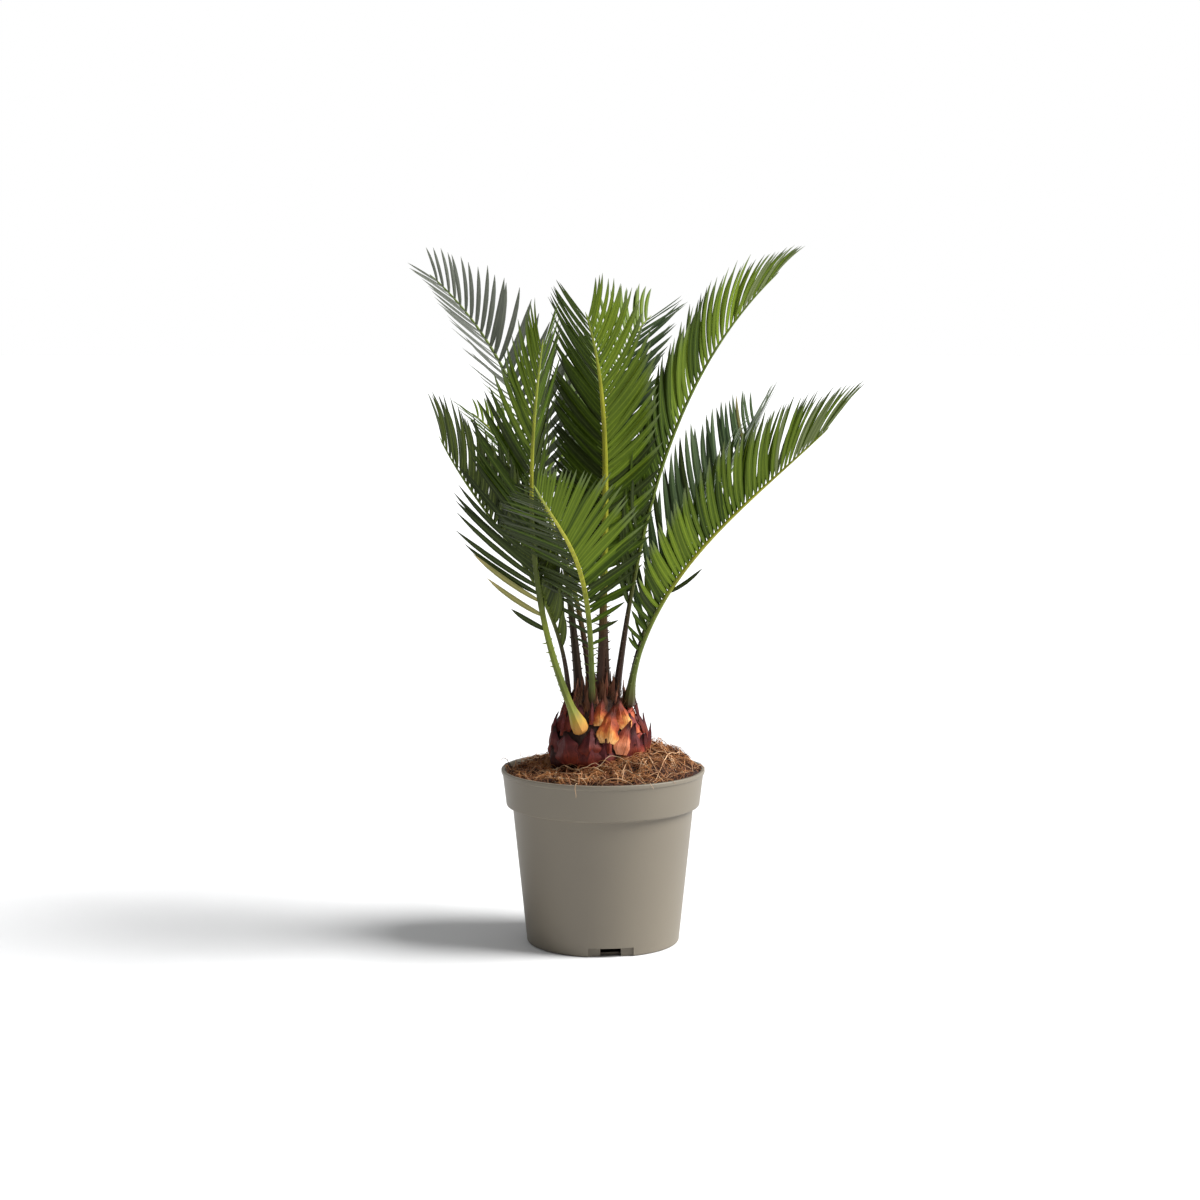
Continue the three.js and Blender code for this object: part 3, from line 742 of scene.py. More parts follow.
def fibre(x, y, heading, length, curl, rise, reach, ends=0.0):
    """One fibre from (x, y), turning by `curl` on its way and rising by `rise` in the middle."""
    u = np.linspace(0, 1, FIBRE_POINTS)
    turn = heading + curl * (u - 0.3)
    stride = length / (FIBRE_POINTS - 1)
    xs = x + np.cumsum(np.cos(turn)) * stride
    ys = y + np.cumsum(np.sin(turn)) * stride
    zs = over_mix(xs, ys) + rise * np.sin(math.pi * u) + ends * u ** 3
    return course(np.stack([xs, ys, zs], 1), NEARLY_UP, reach * np.interp(u, *FIBRE_SHAPE), u)


# %% Lay many fibres at once
CROWDING = 0.1
LOOSE_ENDS = [-0.8, 0, 3.5]
LOOSE_SHARES = [0.4, 0.4, 0.2]


def felt(seed, count, lengths, reaches, rises, curls, most_out):
    """Many fibres with seeded places and sizes, none reaching much past `most_out`, all in millimetres."""
    draw = np.random.default_rng(seed)
    lines = []
    while len(lines) < count:
        out, angle = MIX_EDGE_RADIUS * math.sqrt(draw.uniform(0.1, 1)), draw.uniform(0, 2 * math.pi)
        keep = 0.5 + 0.5 * CROWDING * math.cos(angle)
        length, reach, rise = (draw.uniform(*span) * MM for span in (lengths, reaches, rises))
        curl, heading = draw.uniform(*curls), draw.uniform(0, 2 * math.pi)
        if draw.uniform() > keep:
            continue
        ends = draw.choice(LOOSE_ENDS, p=LOOSE_SHARES) * MM
        line = fibre(out * math.cos(angle), out * math.sin(angle), heading, length, curl, rise, reach, ends)
        if np.hypot(*line["points"][:, :2].T).max() < (most_out + draw.uniform(0, 4)) * MM:
            lines.append(line)
    return lines


# %% Finish and lay the felt
def fibre_finish(name, dark, light):
    finish = Finish(name, 0.7)
    finish.mottle(finish.step(finish.speckle(90, 1), 0.35, 0.65), dark, light)
    return finish


coir_brown = fibre_finish("coir_brown", "#33190b", "#673a1b")
coir_tan = fibre_finish("coir_tan", "#84502c", "#b87e4a")
coir_straw = fibre_finish("coir_straw", "#a87c56", "#d6ae86")
FELTS = [
    ("fibres_brown", coir_brown, 11, 800, (9, 24), (0.16, 0.34), (0.2, 2.2), (-2.6, 2.6), 73),
    ("fibres_tan", coir_tan, 12, 1150, (8, 26), (0.14, 0.3), (0.5, 5), (-2.8, 2.8), 73),
    ("fibres_straw", coir_straw, 13, 260, (12, 30), (0.15, 0.34), (0.8, 4.5), (-1.1, 1.1), 74),
]
for name, finish, seed, count, lengths, reaches, rises, curls, most_out in FELTS:
    lines = felt(seed, count, lengths, reaches, rises, curls, most_out)
    sweep_lines(name, lines, FIBRE_SECTION, finish, "growing_mix", "growing_mix")

# %% [markdown]
# A few long straws and pale roots lie where anyone would notice them, so they are listed one by one: each
# from one end to the other, in millimetres, with how much it bows sideways and rises. The sweep recipe makes
# them too.

# %% Lay the straws and roots
STRAW_POINTS = 14
STRAW_SHAPE = ([0, 0.1, 0.8, 1], [0.6, 1, 0.8, 0.35])
# Each runs from x, y to x, y, and then come its bow, its rise in the middle and its half width.
STRAWS = [
    (9, 0, 42, -52, 2, 3.0, 0.45), (64, 22, 36, -63, -2, 3.5, 0.45), (9, -12, 1, -42, 1, 2.0, 0.3),
    (-70, 7, -54, -42, 4, 1.5, 0.4), (-66, -2, -46, -50, -3, 2.5, 0.35), (30, 12, 52, -36, 2, 5.0, 0.35),
    (20, -30, 58, -20, 5, 4.0, 0.3), (44, 30, -20, 58, 6, 4.0, 0.35), (-30, 40, -62, 20, -4, 2.0, 0.3),
]
ROOTS = [
    (-45, -15, -38, -50, 3, 1.2, 0.75), (-35, -40, -20, -10, 5, 4.0, 0.5),
    (-33, -36, -8, -44, -6, 4.5, 0.5), (-30, -49, 4, -50, 5, 2.5, 0.6), (-24, -54, -1, -53, -3, 1.6, 0.5),
    (-14, -30, -12, -44, 1, 1.0, 0.4), (-20, -66, -20, -78, 1, 0.6, 0.3),
    (-42, -46, -12, -60, -4, 2.0, 0.45), (5, -44, 30, -62, 5, 2.5, 0.4), (-52, -30, -34, -58, 3, 2.2, 0.4),
    (-44, -28, -12, -45, 4, 6.5, 0.35), (-30, -40, 10, -43, -2, 8.0, 0.3), (-20, -44, 6, -52, 3, 5.0, 0.35),
    (6, -42, 36, -46, 2, 6.5, 0.3), (-10, -42, 22, -41, 3, 8.5, 0.3), (-36, -36, -16, -56, -3, 4.0, 0.3),
]


def laid(start_x, start_y, end_x, end_y, bow, rise, reach):
    """A straw or root between two places on the mix, all in millimetres."""
    u = np.linspace(0, 1, STRAW_POINTS)[:, None]
    start, end = np.array([start_x, start_y]) * MM, np.array([end_x, end_y]) * MM
    aside = np.array([start[1] - end[1], end[0] - start[0]]) / np.linalg.norm(end - start)
    wander = 0.8 * MM * np.sin(u * 9 + start[0] / MM)
    flat = start + (end - start) * u + aside * (bow * MM * np.sin(math.pi * u) + wander)
    lift = rise * MM * np.sin(math.pi * u[:, 0])
    points = np.column_stack([flat, over_mix(flat[:, 0], flat[:, 1]) + lift + reach * MM])
    return course(points, NEARLY_UP, reach * MM * np.interp(u[:, 0], *STRAW_SHAPE), u[:, 0])


root_pale = fibre_finish("root_pale", "#8d6c4c", "#c9ad8a")
for name, rows, finish in (("long_straws", STRAWS, coir_straw), ("surface_roots", ROOTS, root_pale)):
    sweep_lines(name, [laid(*row) for row in rows], ROUND_SECTION, finish, "growing_mix", "growing_mix")

# %% [markdown]
# ## The trunk
#
# Under its scales the trunk is a squat bulb, widest near the middle. It hardly shows, so a lathe is
# enough, and its finish brings the relief. What shows are the old leaf bases: broad, keeled scales with
# torn edges and dark points, no two alike. Seven such scales are modelled by one rule with different
# seeds, and a recipe sets them in uneven rows, with thin splinters of older ones between them.

# %% Turn the bulb
TRUNK_CENTRE_X = -3 * MM
TRUNK_FOOT_Z = 112 * MM
TRUNK_PROFILE = np.array([[24, 0], [30, 12], [34, 24], [35, 36], [33, 45], [28, 52], [24, 60], [21, 67],
                          [12, 71], [1, 72]]) * MM


def trunk_radius(z):
    return np.interp(z - TRUNK_FOOT_Z, TRUNK_PROFILE[:, 1], TRUNK_PROFILE[:, 0])


bulb_outline = [(r - 1.5 * MM if r > 2 * MM else r, TRUNK_FOOT_Z + z) for r, z in TRUNK_PROFILE]
trunk_bulb = lathe("trunk_bulb", bulb_outline, 48, TRUNK_CENTRE_X)
bark_dark = Finish("bark_dark", 0.85)
bark_dark.mottle(bark_dark.speckle(120, 4), "#1a0c08", "#3a1d12")
bark_dark.bump(bark_dark.speckle(400, 3, (1, 1, 0.2)), 1 * MM, 0.8)
belongs(trunk_bulb, bark_dark, "trunk", "trunk")

# %% Model the leaf bases
BASE_ROWS = 16
BASE_FRONT = 11
BASE_BACK = 5
CROWN_SHAPE = ([0, 0.25, 0.6, 1], [0.5, 1, 0.75, 0.12])
BACK_SHAPE = ([0, 0.5, 1], [0.5, 0.45, 0.1])
KEEL_SHAPE = ([0, 0.3, 1], [0, 1, 0.5])


def leaf_base(name, seed, point=0.05, torn=1.0):
    """A torn, pointed scale of width 2, height 1 and depth 1, with `along` up it and `across` over it."""
    draw = np.random.default_rng(seed)
    lean, bend, shoulder = torn * draw.uniform(-0.4, 0.4), draw.uniform(-0.2, 1.1), draw.uniform(0.5, 0.7)
    phase = draw.uniform(0, 6, 5)
    front = np.linspace(-1, 1, BASE_FRONT)
    v = np.concatenate([front, np.linspace(1, -1, BASE_BACK + 2)[1:-1]])
    is_back = np.arange(len(v)) >= BASE_FRONT
    left = v < 0
    rings, along = [], []
    for u in np.linspace(0, 1, BASE_ROWS):
        half = np.interp(u, [0, 0.15, 0.4, shoulder, 0.86, 1], [0.78, 0.96, 1, 0.72, 0.26, point])
        edge = 1 + 0.14 * torn * np.sin(u * np.where(left, 14, 18) + np.where(left, phase[0], phase[1]))
        crown, deep = np.interp(u, *CROWN_SHAPE), np.interp(u, *BACK_SHAPE)
        keel = 0.3 * np.exp(-((v - lean * 0.4) / 0.22) ** 2) * np.interp(u, *KEEL_SHAPE)
        fibres = 0.07 * np.sin(v * 13 + phase[2] + 2 * u) + 0.06 * np.sin(v * 21 + u * 9 + phase[3])
        dents = 0.16 * torn * np.sin(6 * u + phase[4]) * np.cos(4 * v + phase[2])
        out_front = crown * (1 - v ** 2) + keel + (fibres + dents) * (1 - v ** 2)
        out = np.where(is_back, -deep * (1 - v ** 2), out_front) + bend * u ** 3 - 0.25 * u
        rings.append(np.stack([out, v * half * edge + lean * u ** 2, np.full(len(v), u)], 1))
        along += [u] * len(v)
    thing = loft(name, rings)
    give_marks(thing, {"along": along + [0, 1], "across": list(v) * BASE_ROWS + [0, 0]})
    return thing


base_shapes = shelf("base_shapes", [leaf_base(f"leaf_base_{i}", 40 + i) for i in range(7)])

# %% Build the recipe that sets shapes on points
plant_out = recipe("set_shapes", {"Shapes": "Collection", "Seed": "Int", "Finish": "Material"})
which = plant_out.node("FunctionNodeRandomValue", {"data_type": "INT"},
                       {5: 99, "Seed": plant_out.given["Seed"]}, output=2)
turned = carried(plant_out, "turn", "FLOAT_VECTOR")
turned = plant_out.node("FunctionNodeEulerToRotation", inputs={0: turned})
placed = picked(plant_out, plant_out.given["Geometry"], Instance_Index=which, Rotation=turned,
                Scale=carried(plant_out, "size", "FLOAT_VECTOR"))
serve(plant_out, placed, plant_out.given["Finish"])
print("setting recipe of", len(plant_out.tree.nodes), "nodes")


# %% Set shapes on spots of the trunk
def set_shapes(name, spots, shapes, seed, finish):
    """A mesh of shapes, one on each spot, a dict of its place, turn and size."""
    thing = new_mesh(name, [spot["place"] for spot in spots], [])
    give_marks(thing, {key: [spot[key] for spot in spots] for key in ("turn", "size")})
    cook(thing, plant_out, Shapes=shapes, Seed=seed, Finish=finish.material)
    return thing


def against_trunk(angle, z, lean, width, height, depth, sink=0.0, tilt=0.0):
    """A spot on the trunk's side for a shape that stands up with its back to the trunk."""
    radius = trunk_radius(z) - sink
    out = Vector((math.cos(angle), math.sin(angle), 0))
    upward = (out * math.sin(lean) + Vector((0, 0, 1)) * math.cos(lean)).normalized()
    upward = Matrix.Rotation(tilt, 3, out) @ upward
    aside = upward.cross(out).normalized()
    face = aside.cross(upward)
    turn = Matrix((face, aside, upward)).transposed().to_euler()
    place = Vector((TRUNK_CENTRE_X, 0, z)) + out * radius
    return {"place": place, "turn": tuple(turn), "size": (depth, width / 2, height)}


# %% [markdown]
# The bases are dealt colours by place: nearly black at the foot, maroon above it, red to the right, and
# orange to peach in the middle of the front. The red, orange and peach are partly the scales' own colour and
# partly painted light on the side that faces the lamp, and the black on the low scales turned from the lamp
# is painted shade. So each scale is dealt to one of five finishes by its height and its angle. Ten leading
# scales are placed one by one, because the eye goes to them first, and the rows leave them room. Inside a
# finish the colour runs up the scale, on the `along` mark, with streaks.

# %% Give the leaf bases their rows
# Heights and sizes are in millimetres and leans in degrees, outward above 0.
BASE_RING = [
    {"z": 118, "count": 9, "width": 24, "height": 24, "lean": 20, "depth": 3.4, "turn": 0.0},
    {"z": 129, "count": 10, "width": 23, "height": 25, "lean": 13, "depth": 3.8, "turn": 0.5},
    {"z": 139, "count": 10, "width": 21, "height": 23, "lean": -9, "depth": 3.8, "turn": 0.15},
    {"z": 149, "count": 10, "width": 18, "height": 21, "lean": -26, "depth": 3.6, "turn": 0.6},
    {"z": 158, "count": 10, "width": 14, "height": 19, "lean": -28, "depth": 3.0, "turn": 0.2},
    {"z": 166, "count": 9, "width": 11, "height": 18, "lean": -20, "depth": 2.4, "turn": 0.7},
]
SPLINTER_RING = [
    {"z": 144, "count": 12, "width": 4.5, "height": 20, "lean": -9, "depth": 1.8, "turn": 0.4},
    {"z": 155, "count": 15, "width": 3.6, "height": 19, "lean": -20, "depth": 1.5, "turn": 0.1},
    {"z": 165, "count": 15, "width": 3.0, "height": 18, "lean": -16, "depth": 1.2, "turn": 0.6},
]
# Scales on the side that faces the lamp get the orange and red finishes, painted light over their own
# colour; low scales turned from it get the dark finish, painted shade.
LIT_SIDE_ANGLE = math.radians(-68)
LIT_SIDE_HALF = math.radians(36)
LIT_ORANGE_Z = 146 * MM
LIT_RED_ANGLE = math.radians(-40)
LIT_RED_HALF = math.radians(26)
DARK_Z = 125 * MM
MAROON_Z = 135 * MM
BULB_SPOT = (-16, -31, 162)
BULB_ROOM = 10.5 * MM
# Each leading scale: finish, angle, height, lean, width, length, depth, tilt to the side.
LEADING_BASES = [
    ("glow", -80, 152, -22, 16, 30, 4.6, -9), ("glow", -47, 161, -24, 14, 25, 4.2, 10),
    ("peach", -61, 143, -12, 15, 26, 4.4, -14), ("maroon", -43, 140, -6, 19, 25, 5.2, 6),
    ("red", -29, 136, -4, 16, 20, 4.4, 0), ("maroon", -82, 129, 2, 20, 27, 5.2, 7),
    ("maroon", -104, 133, 4, 22, 24, 4.6, -8), ("maroon", -130, 136, 2, 24, 24, 4.6, 5),
    ("maroon", -100, 143, -12, 19, 20, 4.6, 4), ("maroon", -163, 138, -2, 22, 24, 4.4, -6),
]
LEADING_ROOM = 9 * MM
BASE_SINK = 0.8 * MM
SPLINTERS_OUT = 2.5 * MM
print(sum(row["count"] for row in BASE_RING), "places in rows and", len(LEADING_BASES), "leading scales")

# %% Deal out the finishes
def base_kind(angle, z):
    """Which finish a scale is dealt: by its height, and how far it is from the side that faces the lamp,
    where the orange and red finishes are painted light, while the dark one is painted shade away from it.
    """
    off = abs((angle - LIT_SIDE_ANGLE + math.pi) % (2 * math.pi) - math.pi)
    if z > LIT_ORANGE_Z and off < LIT_SIDE_HALF:
        return "glow"
    if z > DARK_Z and abs(angle - 2 * math.pi - LIT_RED_ANGLE) < LIT_RED_HALF:
        return "red"
    return "maroon" if z > MAROON_Z or off < 2 * LIT_SIDE_HALF and z > DARK_Z else "dark"


leading = []
for kind, angle, z, lean, width, height, depth, tilt in LEADING_BASES:
    angle, lean, tilt = (math.radians(value) for value in (angle, lean, tilt))
    spot = against_trunk(angle, z * MM, lean, width * MM, height * MM, depth * MM, tilt=tilt)
    leading.append((kind, spot))
taken = [(Vector(BULB_SPOT) * MM, BULB_ROOM)]
for kind, spot in leading:
    taken.append((spot["place"] + Vector((0, 0, spot["size"][2] / 2)), LEADING_ROOM))
print(len(taken), "places are taken")


# %% Set the rows of leaf bases
LOOSE_TURN = 0.2
LOOSE_Z = 2.5
LOOSE_LEAN = 8
WIDTHS = (0.78, 1.2)
HEIGHTS = (0.8, 1.18)


def ring_spots(rows, seed, loose):
    """Spots for rows of scales, each with seeded differences, and none where a place is taken."""
    draw = np.random.default_rng(seed)
    spots = []
    for row in rows:
        for k in range(row["count"]):
            turn = row["turn"] + draw.uniform(-LOOSE_TURN, LOOSE_TURN)
            angle = (k + turn) / row["count"] * 2 * math.pi
            z = (row["z"] + draw.uniform(-LOOSE_Z, LOOSE_Z)) * MM
            lean = math.radians(row["lean"] + draw.uniform(-LOOSE_LEAN, LOOSE_LEAN))
            width, height = row["width"] * draw.uniform(*WIDTHS), row["height"] * draw.uniform(*HEIGHTS)
            spot = against_trunk(angle, z, lean, width * MM, height * MM, row["depth"] * MM,
                                 BASE_SINK - loose)
            middle = spot["place"] + Vector((0, 0, height / 2 * MM))
            if all((middle - place).length > room for place, room in taken):
                spots.append((angle % (2 * math.pi), z, spot))
    return spots


base_spots = {"dark": [], "maroon": [], "red": [], "glow": [], "peach": []}
for kind, spot in leading:
    base_spots[kind].append(spot)
for angle, z, spot in ring_spots(BASE_RING, 7, 0):
    base_spots[base_kind(angle, z)].append(spot)
print({kind: len(spots) for kind, spots in base_spots.items()}, "leaf bases")


# %% Finish the leaf bases
PATCHINESS = 1.1
STREAK_EDGE = (0.42, 0.72)
STREAK_SHOWS = 0.6


def base_finish(name, stops, roughness):
    """A scale's finish: a run of colours from its foot to its point, broken up by fibre streaks."""
    finish = Finish(name, roughness, 0.22)
    along, across = finish.mark("along"), finish.mark("across")
    patches = finish.speckle(120, 3)
    streaks = finish.node("ShaderNodeTexNoise", {"noise_dimensions": "1D"},
                          {"W": 9 * across + 2 * patches, "Scale": 1.6, "Detail": 3})
    run = finish.ramp(along + PATCHINESS * patches - PATCHINESS / 2, stops)
    darker = finish.blend(STREAK_SHOWS, run, paint("#160805"))
    finish.colour(finish.blend(finish.step(streaks, *STREAK_EDGE), run, darker))
    finish.bump(streaks + 0.5 * finish.speckle(700, 2), 0.5 * MM, 0.7)
    return finish


# The orange, red and peach runs are partly the scales' own colour and partly painted light on the side that
# faces the lamp; the dark run is painted shade.
BASE_COLOURS = {
    "dark": (0.65, [(0, "#3e1812"), (0.5, "#4c2018"), (1, "#241210")]),
    "maroon": (0.6, [(0, "#8c3a26"), (0.3, "#6c2a22"), (0.7, "#582226"), (1, "#301512")]),
    "red": (0.6, [(0, "#e07c52"), (0.25, "#ac4830"), (0.6, "#74282c"), (1, "#341616")]),
    "glow": (0.55, [(0, "#f2b874"), (0.17, "#e0924a"), (0.38, "#b4542a"), (0.62, "#84351f"),
                    (1, "#40201a")]),
    "peach": (0.6, [(0, "#e89a74"), (0.3, "#cf7850"), (0.6, "#9a4632"), (1, "#4c2220")]),
}
BASE_FINISHES = {kind: base_finish("base_" + kind, stops, roughness)
                 for kind, (roughness, stops) in BASE_COLOURS.items()}
for kind, spots in base_spots.items():
    finish = BASE_FINISHES[kind]
    belongs(set_shapes("leaf_bases_" + kind, spots, base_shapes, 3, finish), finish, "trunk", "trunk")
splinter_spots = [spot for angle, z, spot in ring_spots(SPLINTER_RING, 8, SPLINTERS_OUT)]
splinter_spots.append(against_trunk(math.radians(-24), 146 * MM, math.radians(2), 5 * MM, 19 * MM, 1.6 * MM,
                                    -5 * MM))
splinters = shelf("splinter_shapes", [leaf_base(f"splinter_{i}", 60 + i, 0.02, 0.7) for i in range(3)])
finish = BASE_FINISHES["maroon"]
belongs(set_shapes("splinters", splinter_spots, splinters, 5, finish), finish, "trunk", "trunk")

# %% [markdown]
# The lowest bases don't end on the mix in a clean line: coir has been raked up against them. So one
# more felt goes round the trunk, of fibres that run along its foot and arch up in front of it.

# %% Rake fibres up against the trunk
RAKED_COUNT = 260
RAKED_OUT = (33, 46)
RAKED_LENGTHS = (10, 26)
RAKED_RISES = (1.5, 7)
RAKED_REACHES = (0.16, 0.36)

draw = np.random.default_rng(14)
raked = []
for k in range(RAKED_COUNT):
    angle, out = draw.uniform(0, 2 * math.pi), draw.uniform(*RAKED_OUT) * MM
    heading = angle + math.pi / 2 * draw.choice([-1, 1]) + draw.uniform(-0.8, 0.8)
    raked.append(fibre(TRUNK_CENTRE_X + out * math.cos(angle), out * math.sin(angle), heading,
                       draw.uniform(*RAKED_LENGTHS) * MM, draw.uniform(-2, 2),
                       draw.uniform(*RAKED_RISES) * MM, draw.uniform(*RAKED_REACHES) * MM))
sweep_lines("fibres_raked", raked, FIBRE_SECTION, coir_tan, "growing_mix", "growing_mix")

# %% [markdown]
# Round the feet of the fronds stand narrow papery scales, the cataphylls, with brown wool between them.
# They are the same keeled scale, drawn thin and tall, so the same recipe sets them. The wool is short
# fibres that start among them and stand up: the sweep recipe again.

# %% Set the cataphylls
CATAPHYLLS = [
    {"count": 15, "radius": 21, "z": 168, "height": 24, "width": 6.5, "lean": -7},
    {"count": 14, "radius": 15, "z": 174, "height": 24, "width": 5.0, "lean": -3},
    {"count": 11, "radius": 9, "z": 178, "height": 22, "width": 4.0, "lean": -2},
]
CATAPHYLL_DEPTH = 1.1 * MM
ROSY_SHARE = 0.35

thin_shapes = shelf("thin_shapes", [leaf_base(f"cataphyll_{i}", 50 + i, 0.02) for i in range(2)])
crown_spots = {"brown": [], "rosy": []}
draw = np.random.default_rng(17)
for ring in CATAPHYLLS:
    for k in range(ring["count"]):
        angle = (k + draw.uniform(-0.3, 0.3)) / ring["count"] * 2 * math.pi
        z = ring["z"] * MM + draw.uniform(-2, 2) * MM
        spot = against_trunk(angle, z, math.radians(ring["lean"] + draw.uniform(-7, 9)), ring["width"] * MM,
                             ring["height"] * MM * draw.uniform(0.75, 1.15), CATAPHYLL_DEPTH,
                             trunk_radius(z) - ring["radius"] * MM)
        crown_spots["rosy" if draw.uniform() < ROSY_SHARE else "brown"].append(spot)
CATAPHYLL_COLOURS = {
    "brown": (0.75, [(0, "#3a1c12"), (0.5, "#5b3220"), (1, "#6e4a30")]),
    "rosy": (0.7, [(0, "#6a2a1c"), (0.5, "#8c4a35"), (1, "#a4745a")]),
}
for kind, spots in crown_spots.items():
    roughness, stops = CATAPHYLL_COLOURS[kind]
    finish = base_finish("cataphyll_" + kind, stops, roughness)
    belongs(set_shapes("cataphylls_" + kind, spots, thin_shapes, 4, finish), finish, "trunk", "trunk")

# %% Grow the wool
CROWN_Z = 178 * MM
CROWN_SLOPE = 0.45
WOOL_COUNT = 420
WOOL_POINTS = 6
WOOL_RADIUS = 24 * MM
WOOL_LENGTHS = (8, 17)
WOOL_REACH = (0.24, 0.08)

wool = []
u = np.linspace(0, 1, WOOL_POINTS)[:, None]
for k in range(WOOL_COUNT):
    out, angle = WOOL_RADIUS * math.sqrt(draw.uniform(0.02, 1)), draw.uniform(0, 2 * math.pi)
    way = np.array([math.cos(angle), math.sin(angle), 0]) * draw.uniform(0, 0.5) + draw.normal(0, 0.22, 3)
    foot = np.array([TRUNK_CENTRE_X + out * math.cos(angle), out * math.sin(angle), 0])
    foot[2] = CROWN_Z - out * CROWN_SLOPE
    points = foot + (way + (0, 0, 1)) * u * draw.uniform(*WOOL_LENGTHS) * MM
    points += draw.normal(0, 0.16, 3) * u ** 2 * 12 * MM
    wool.append(course(points, (1.0, 0.1, 0.0), np.linspace(*WOOL_REACH, WOOL_POINTS) * MM, u[:, 0]))
wool_brown = fibre_finish("wool_brown", "#4a2c18", "#8a6038")
sweep_lines("crown_wool", wool, FIBRE_SECTION, wool_brown, "trunk", "trunk")

# %% [markdown]
# ## The fronds
#
# Each frond is one stiff rib with a row of narrow leaflets on either side, raised into a shallow V.
# A few driving sizes say all of it: where the rib stands, how far it leans at its foot, middle and tip,
# which way it heads, and how its leaflets splay and lengthen. The solids follow this rule with fewer and
# wider leaflets. Modelling leaflet by leaflet would take days and look no better.

# %% Give the fronds their sizes
# Millimetres and degrees, as in the solids. Five of the entries are only for the looks: `wide` is a
# leaflet's width, `roll` turns the blades of the row at -1 and of the row at +1 about themselves, `fan`
# opens the leaflets above the middle, `rib` is the rib's finish, and `tones` are the greens of the row at -1
# and of the row at +1, from foot to tip: lighter greens are painted light on rows that face the lamp, darker
# ones painted shade on rows turned from it.
FRONDS = {
    "far_left": dict(
        foot=[-17, 8, 178], length=342, lean=[6, 19, 51], heading=[142, 158], face=105, twist=-8,
        splay=[76, 60, 32], curve=22, lift=[62, 45], leaflet=61, full=0.5, low=0.45, high=0.4,
        bare=0.25, pairs=39, wide=4.8, stalk=[4.8, 3.8, 2.0], rib="leafy", roll=[45, 30],
        tones=("mid ashen", "ashen")),
    "front_left": dict(
        foot=[-16, -29, 162], length=290, lean=[26, 16, 12], heading=[204, 312], face=330, twist=-50,
        splay=[46, 31, 14], curve=14, lift=[45, 40], leaflet=77, full=0.22, low=0.35, high=0.45,
        bare=0.27, pairs=38, wide=4.2, stalk=[6.8, 3.3, 2.3], rib="bulb",
        tones=("shade shade deep", "shade deep mid")),
    "centre": dict(
        foot=[-3, -5, 180], length=286, lean=[7, 8, 32], heading=[-54, -121], face=-60, twist=-35,
        splay=[66, 43, 20], curve=22, lift=[12, 38], leaflet=64, full=0.75, low=0.5, high=0.5,
        bare=0.25, pairs=46, wide=4.9, stalk=[3.8, 3.4, 2.9], rib="brown",
        tones=("deep mid bright", "shade deep deep")),
    "centre_back": dict(
        foot=[3, 17, 180], length=313, lean=[4, 19, 59], heading=[121, 51], face=97, twist=-17,
        splay=[66, 52, 22], curve=22, lift=[28, 28], leaflet=56, full=0.8, low=0.5, high=0.58,
        bare=0.26, pairs=42, wide=6.0, stalk=[3.4, 2.8, 2.2], rib="brown",
        tones=("deep deep mid", "mid bright bluish bluish")),
    "tall_right": dict(
        foot=[9, -3, 180], length=336, lean=[8, 18, 47], heading=[11, 8], face=-10, twist=14,
        splay=[20, 27, 10], curve=26, lift=[50, 50], leaflet=67, full=0.6, low=0.75, high=0.47,
        bare=0.2, pairs=52, wide=4.0, stalk=[4.2, 3.5, 2.0], rib="leafy", fan=12,
        tones=("shade shade deep deep mid mid bright pale",) * 2),
    "low_right": dict(
        foot=[19, -9, 178], length=256, lean=[8, 42, 46], heading=[-39, -14], face=-10, twist=-8,
        splay=[56, 44, 16], curve=16, lift=[58, 58], leaflet=65, full=0.64, low=0.24, high=0.72,
        bare=0.15, pairs=54, wide=3.6, stalk=[5.4, 3.8, 2.0], rib="green", fan=9,
        tones=("deep mid deep mid pale", "deep bright mid mid pale")),
    "back_right": dict(
        foot=[19, 10, 178], length=251, lean=[10, 43, 41], heading=[44, 50], face=30, twist=0,
        splay=[30, 34, 30], curve=12, lift=[40, 40], leaflet=93, full=0.42, low=0.7, high=0.4,
        bare=0.2, pairs=32, wide=4.7, stalk=[3.4, 2.6, 2.0], rib="leafy",
        tones=("bluish",) * 2),
    "front": dict(
        foot=[-8, -16, 178], length=264, lean=[2, 57, 57], heading=[-93, -107], face=-102, twist=40,
        splay=[84, 68, 32], curve=8, lift=[33, 38], leaflet=58, full=0.38, low=0.22, high=0.26,
        bare=0.17, pairs=44, wide=3.5, stalk=[2.8, 2.1, 2.0], rib="green", roll=[-45, 10],
        tones=("deep mid mid", "shade shade shade")),
    "low_left": dict(
        foot=[-25, -2, 176], length=225, lean=[3, 36, 26], heading=[240, 190], face=176, twist=22,
        splay=[22, 44, 16], curve=20, lift=[52, 52], leaflet=71, full=0.5, low=0.4, high=0.56,
        bare=0.19, pairs=38, wide=4.4, stalk=[2.8, 2.4, 1.8], rib="leafy",
        tones=("olive", "olive olive shade")),
    "back_left": dict(
        foot=[-9, 17, 180], length=252, lean=[8, 33, 62], heading=[126, 136], face=130, twist=0,
        splay=[66, 45, 24], curve=22, lift=[28, 28], leaflet=60, full=0.5, low=0.4, high=0.4,
        bare=0.27, pairs=29, wide=3.6, stalk=[3.2, 2.6, 2.0], rib="brown",
        tones=("deep", "mid")),
}
print(len(FRONDS), "fronds with room for", 2 * sum(frond["pairs"] for frond in FRONDS.values()), "leaflets")

# %% [markdown]
# ### The rule
#
# The rib is walked step by step. Its lean from upright follows a smooth curve through three angles and
# its heading turns evenly, and each step goes that way. The blade's back starts facing `face` and is
# carried along without rolling, then turned by its share of `twist`. This is the same rule as the
# solids', so ribs and leaflets land where the solids have them.


# %% Walk the rib
RIB_STEPS = 60


def through(foot, middle, tip, t):
    return foot + (4 * middle - 3 * foot - tip) * t + (2 * foot - 4 * middle + 2 * tip) * t * t


def lerp(span, t):
    return span[0] + (span[1] - span[0]) * t


def unit(vector):
    return vector / np.linalg.norm(vector)


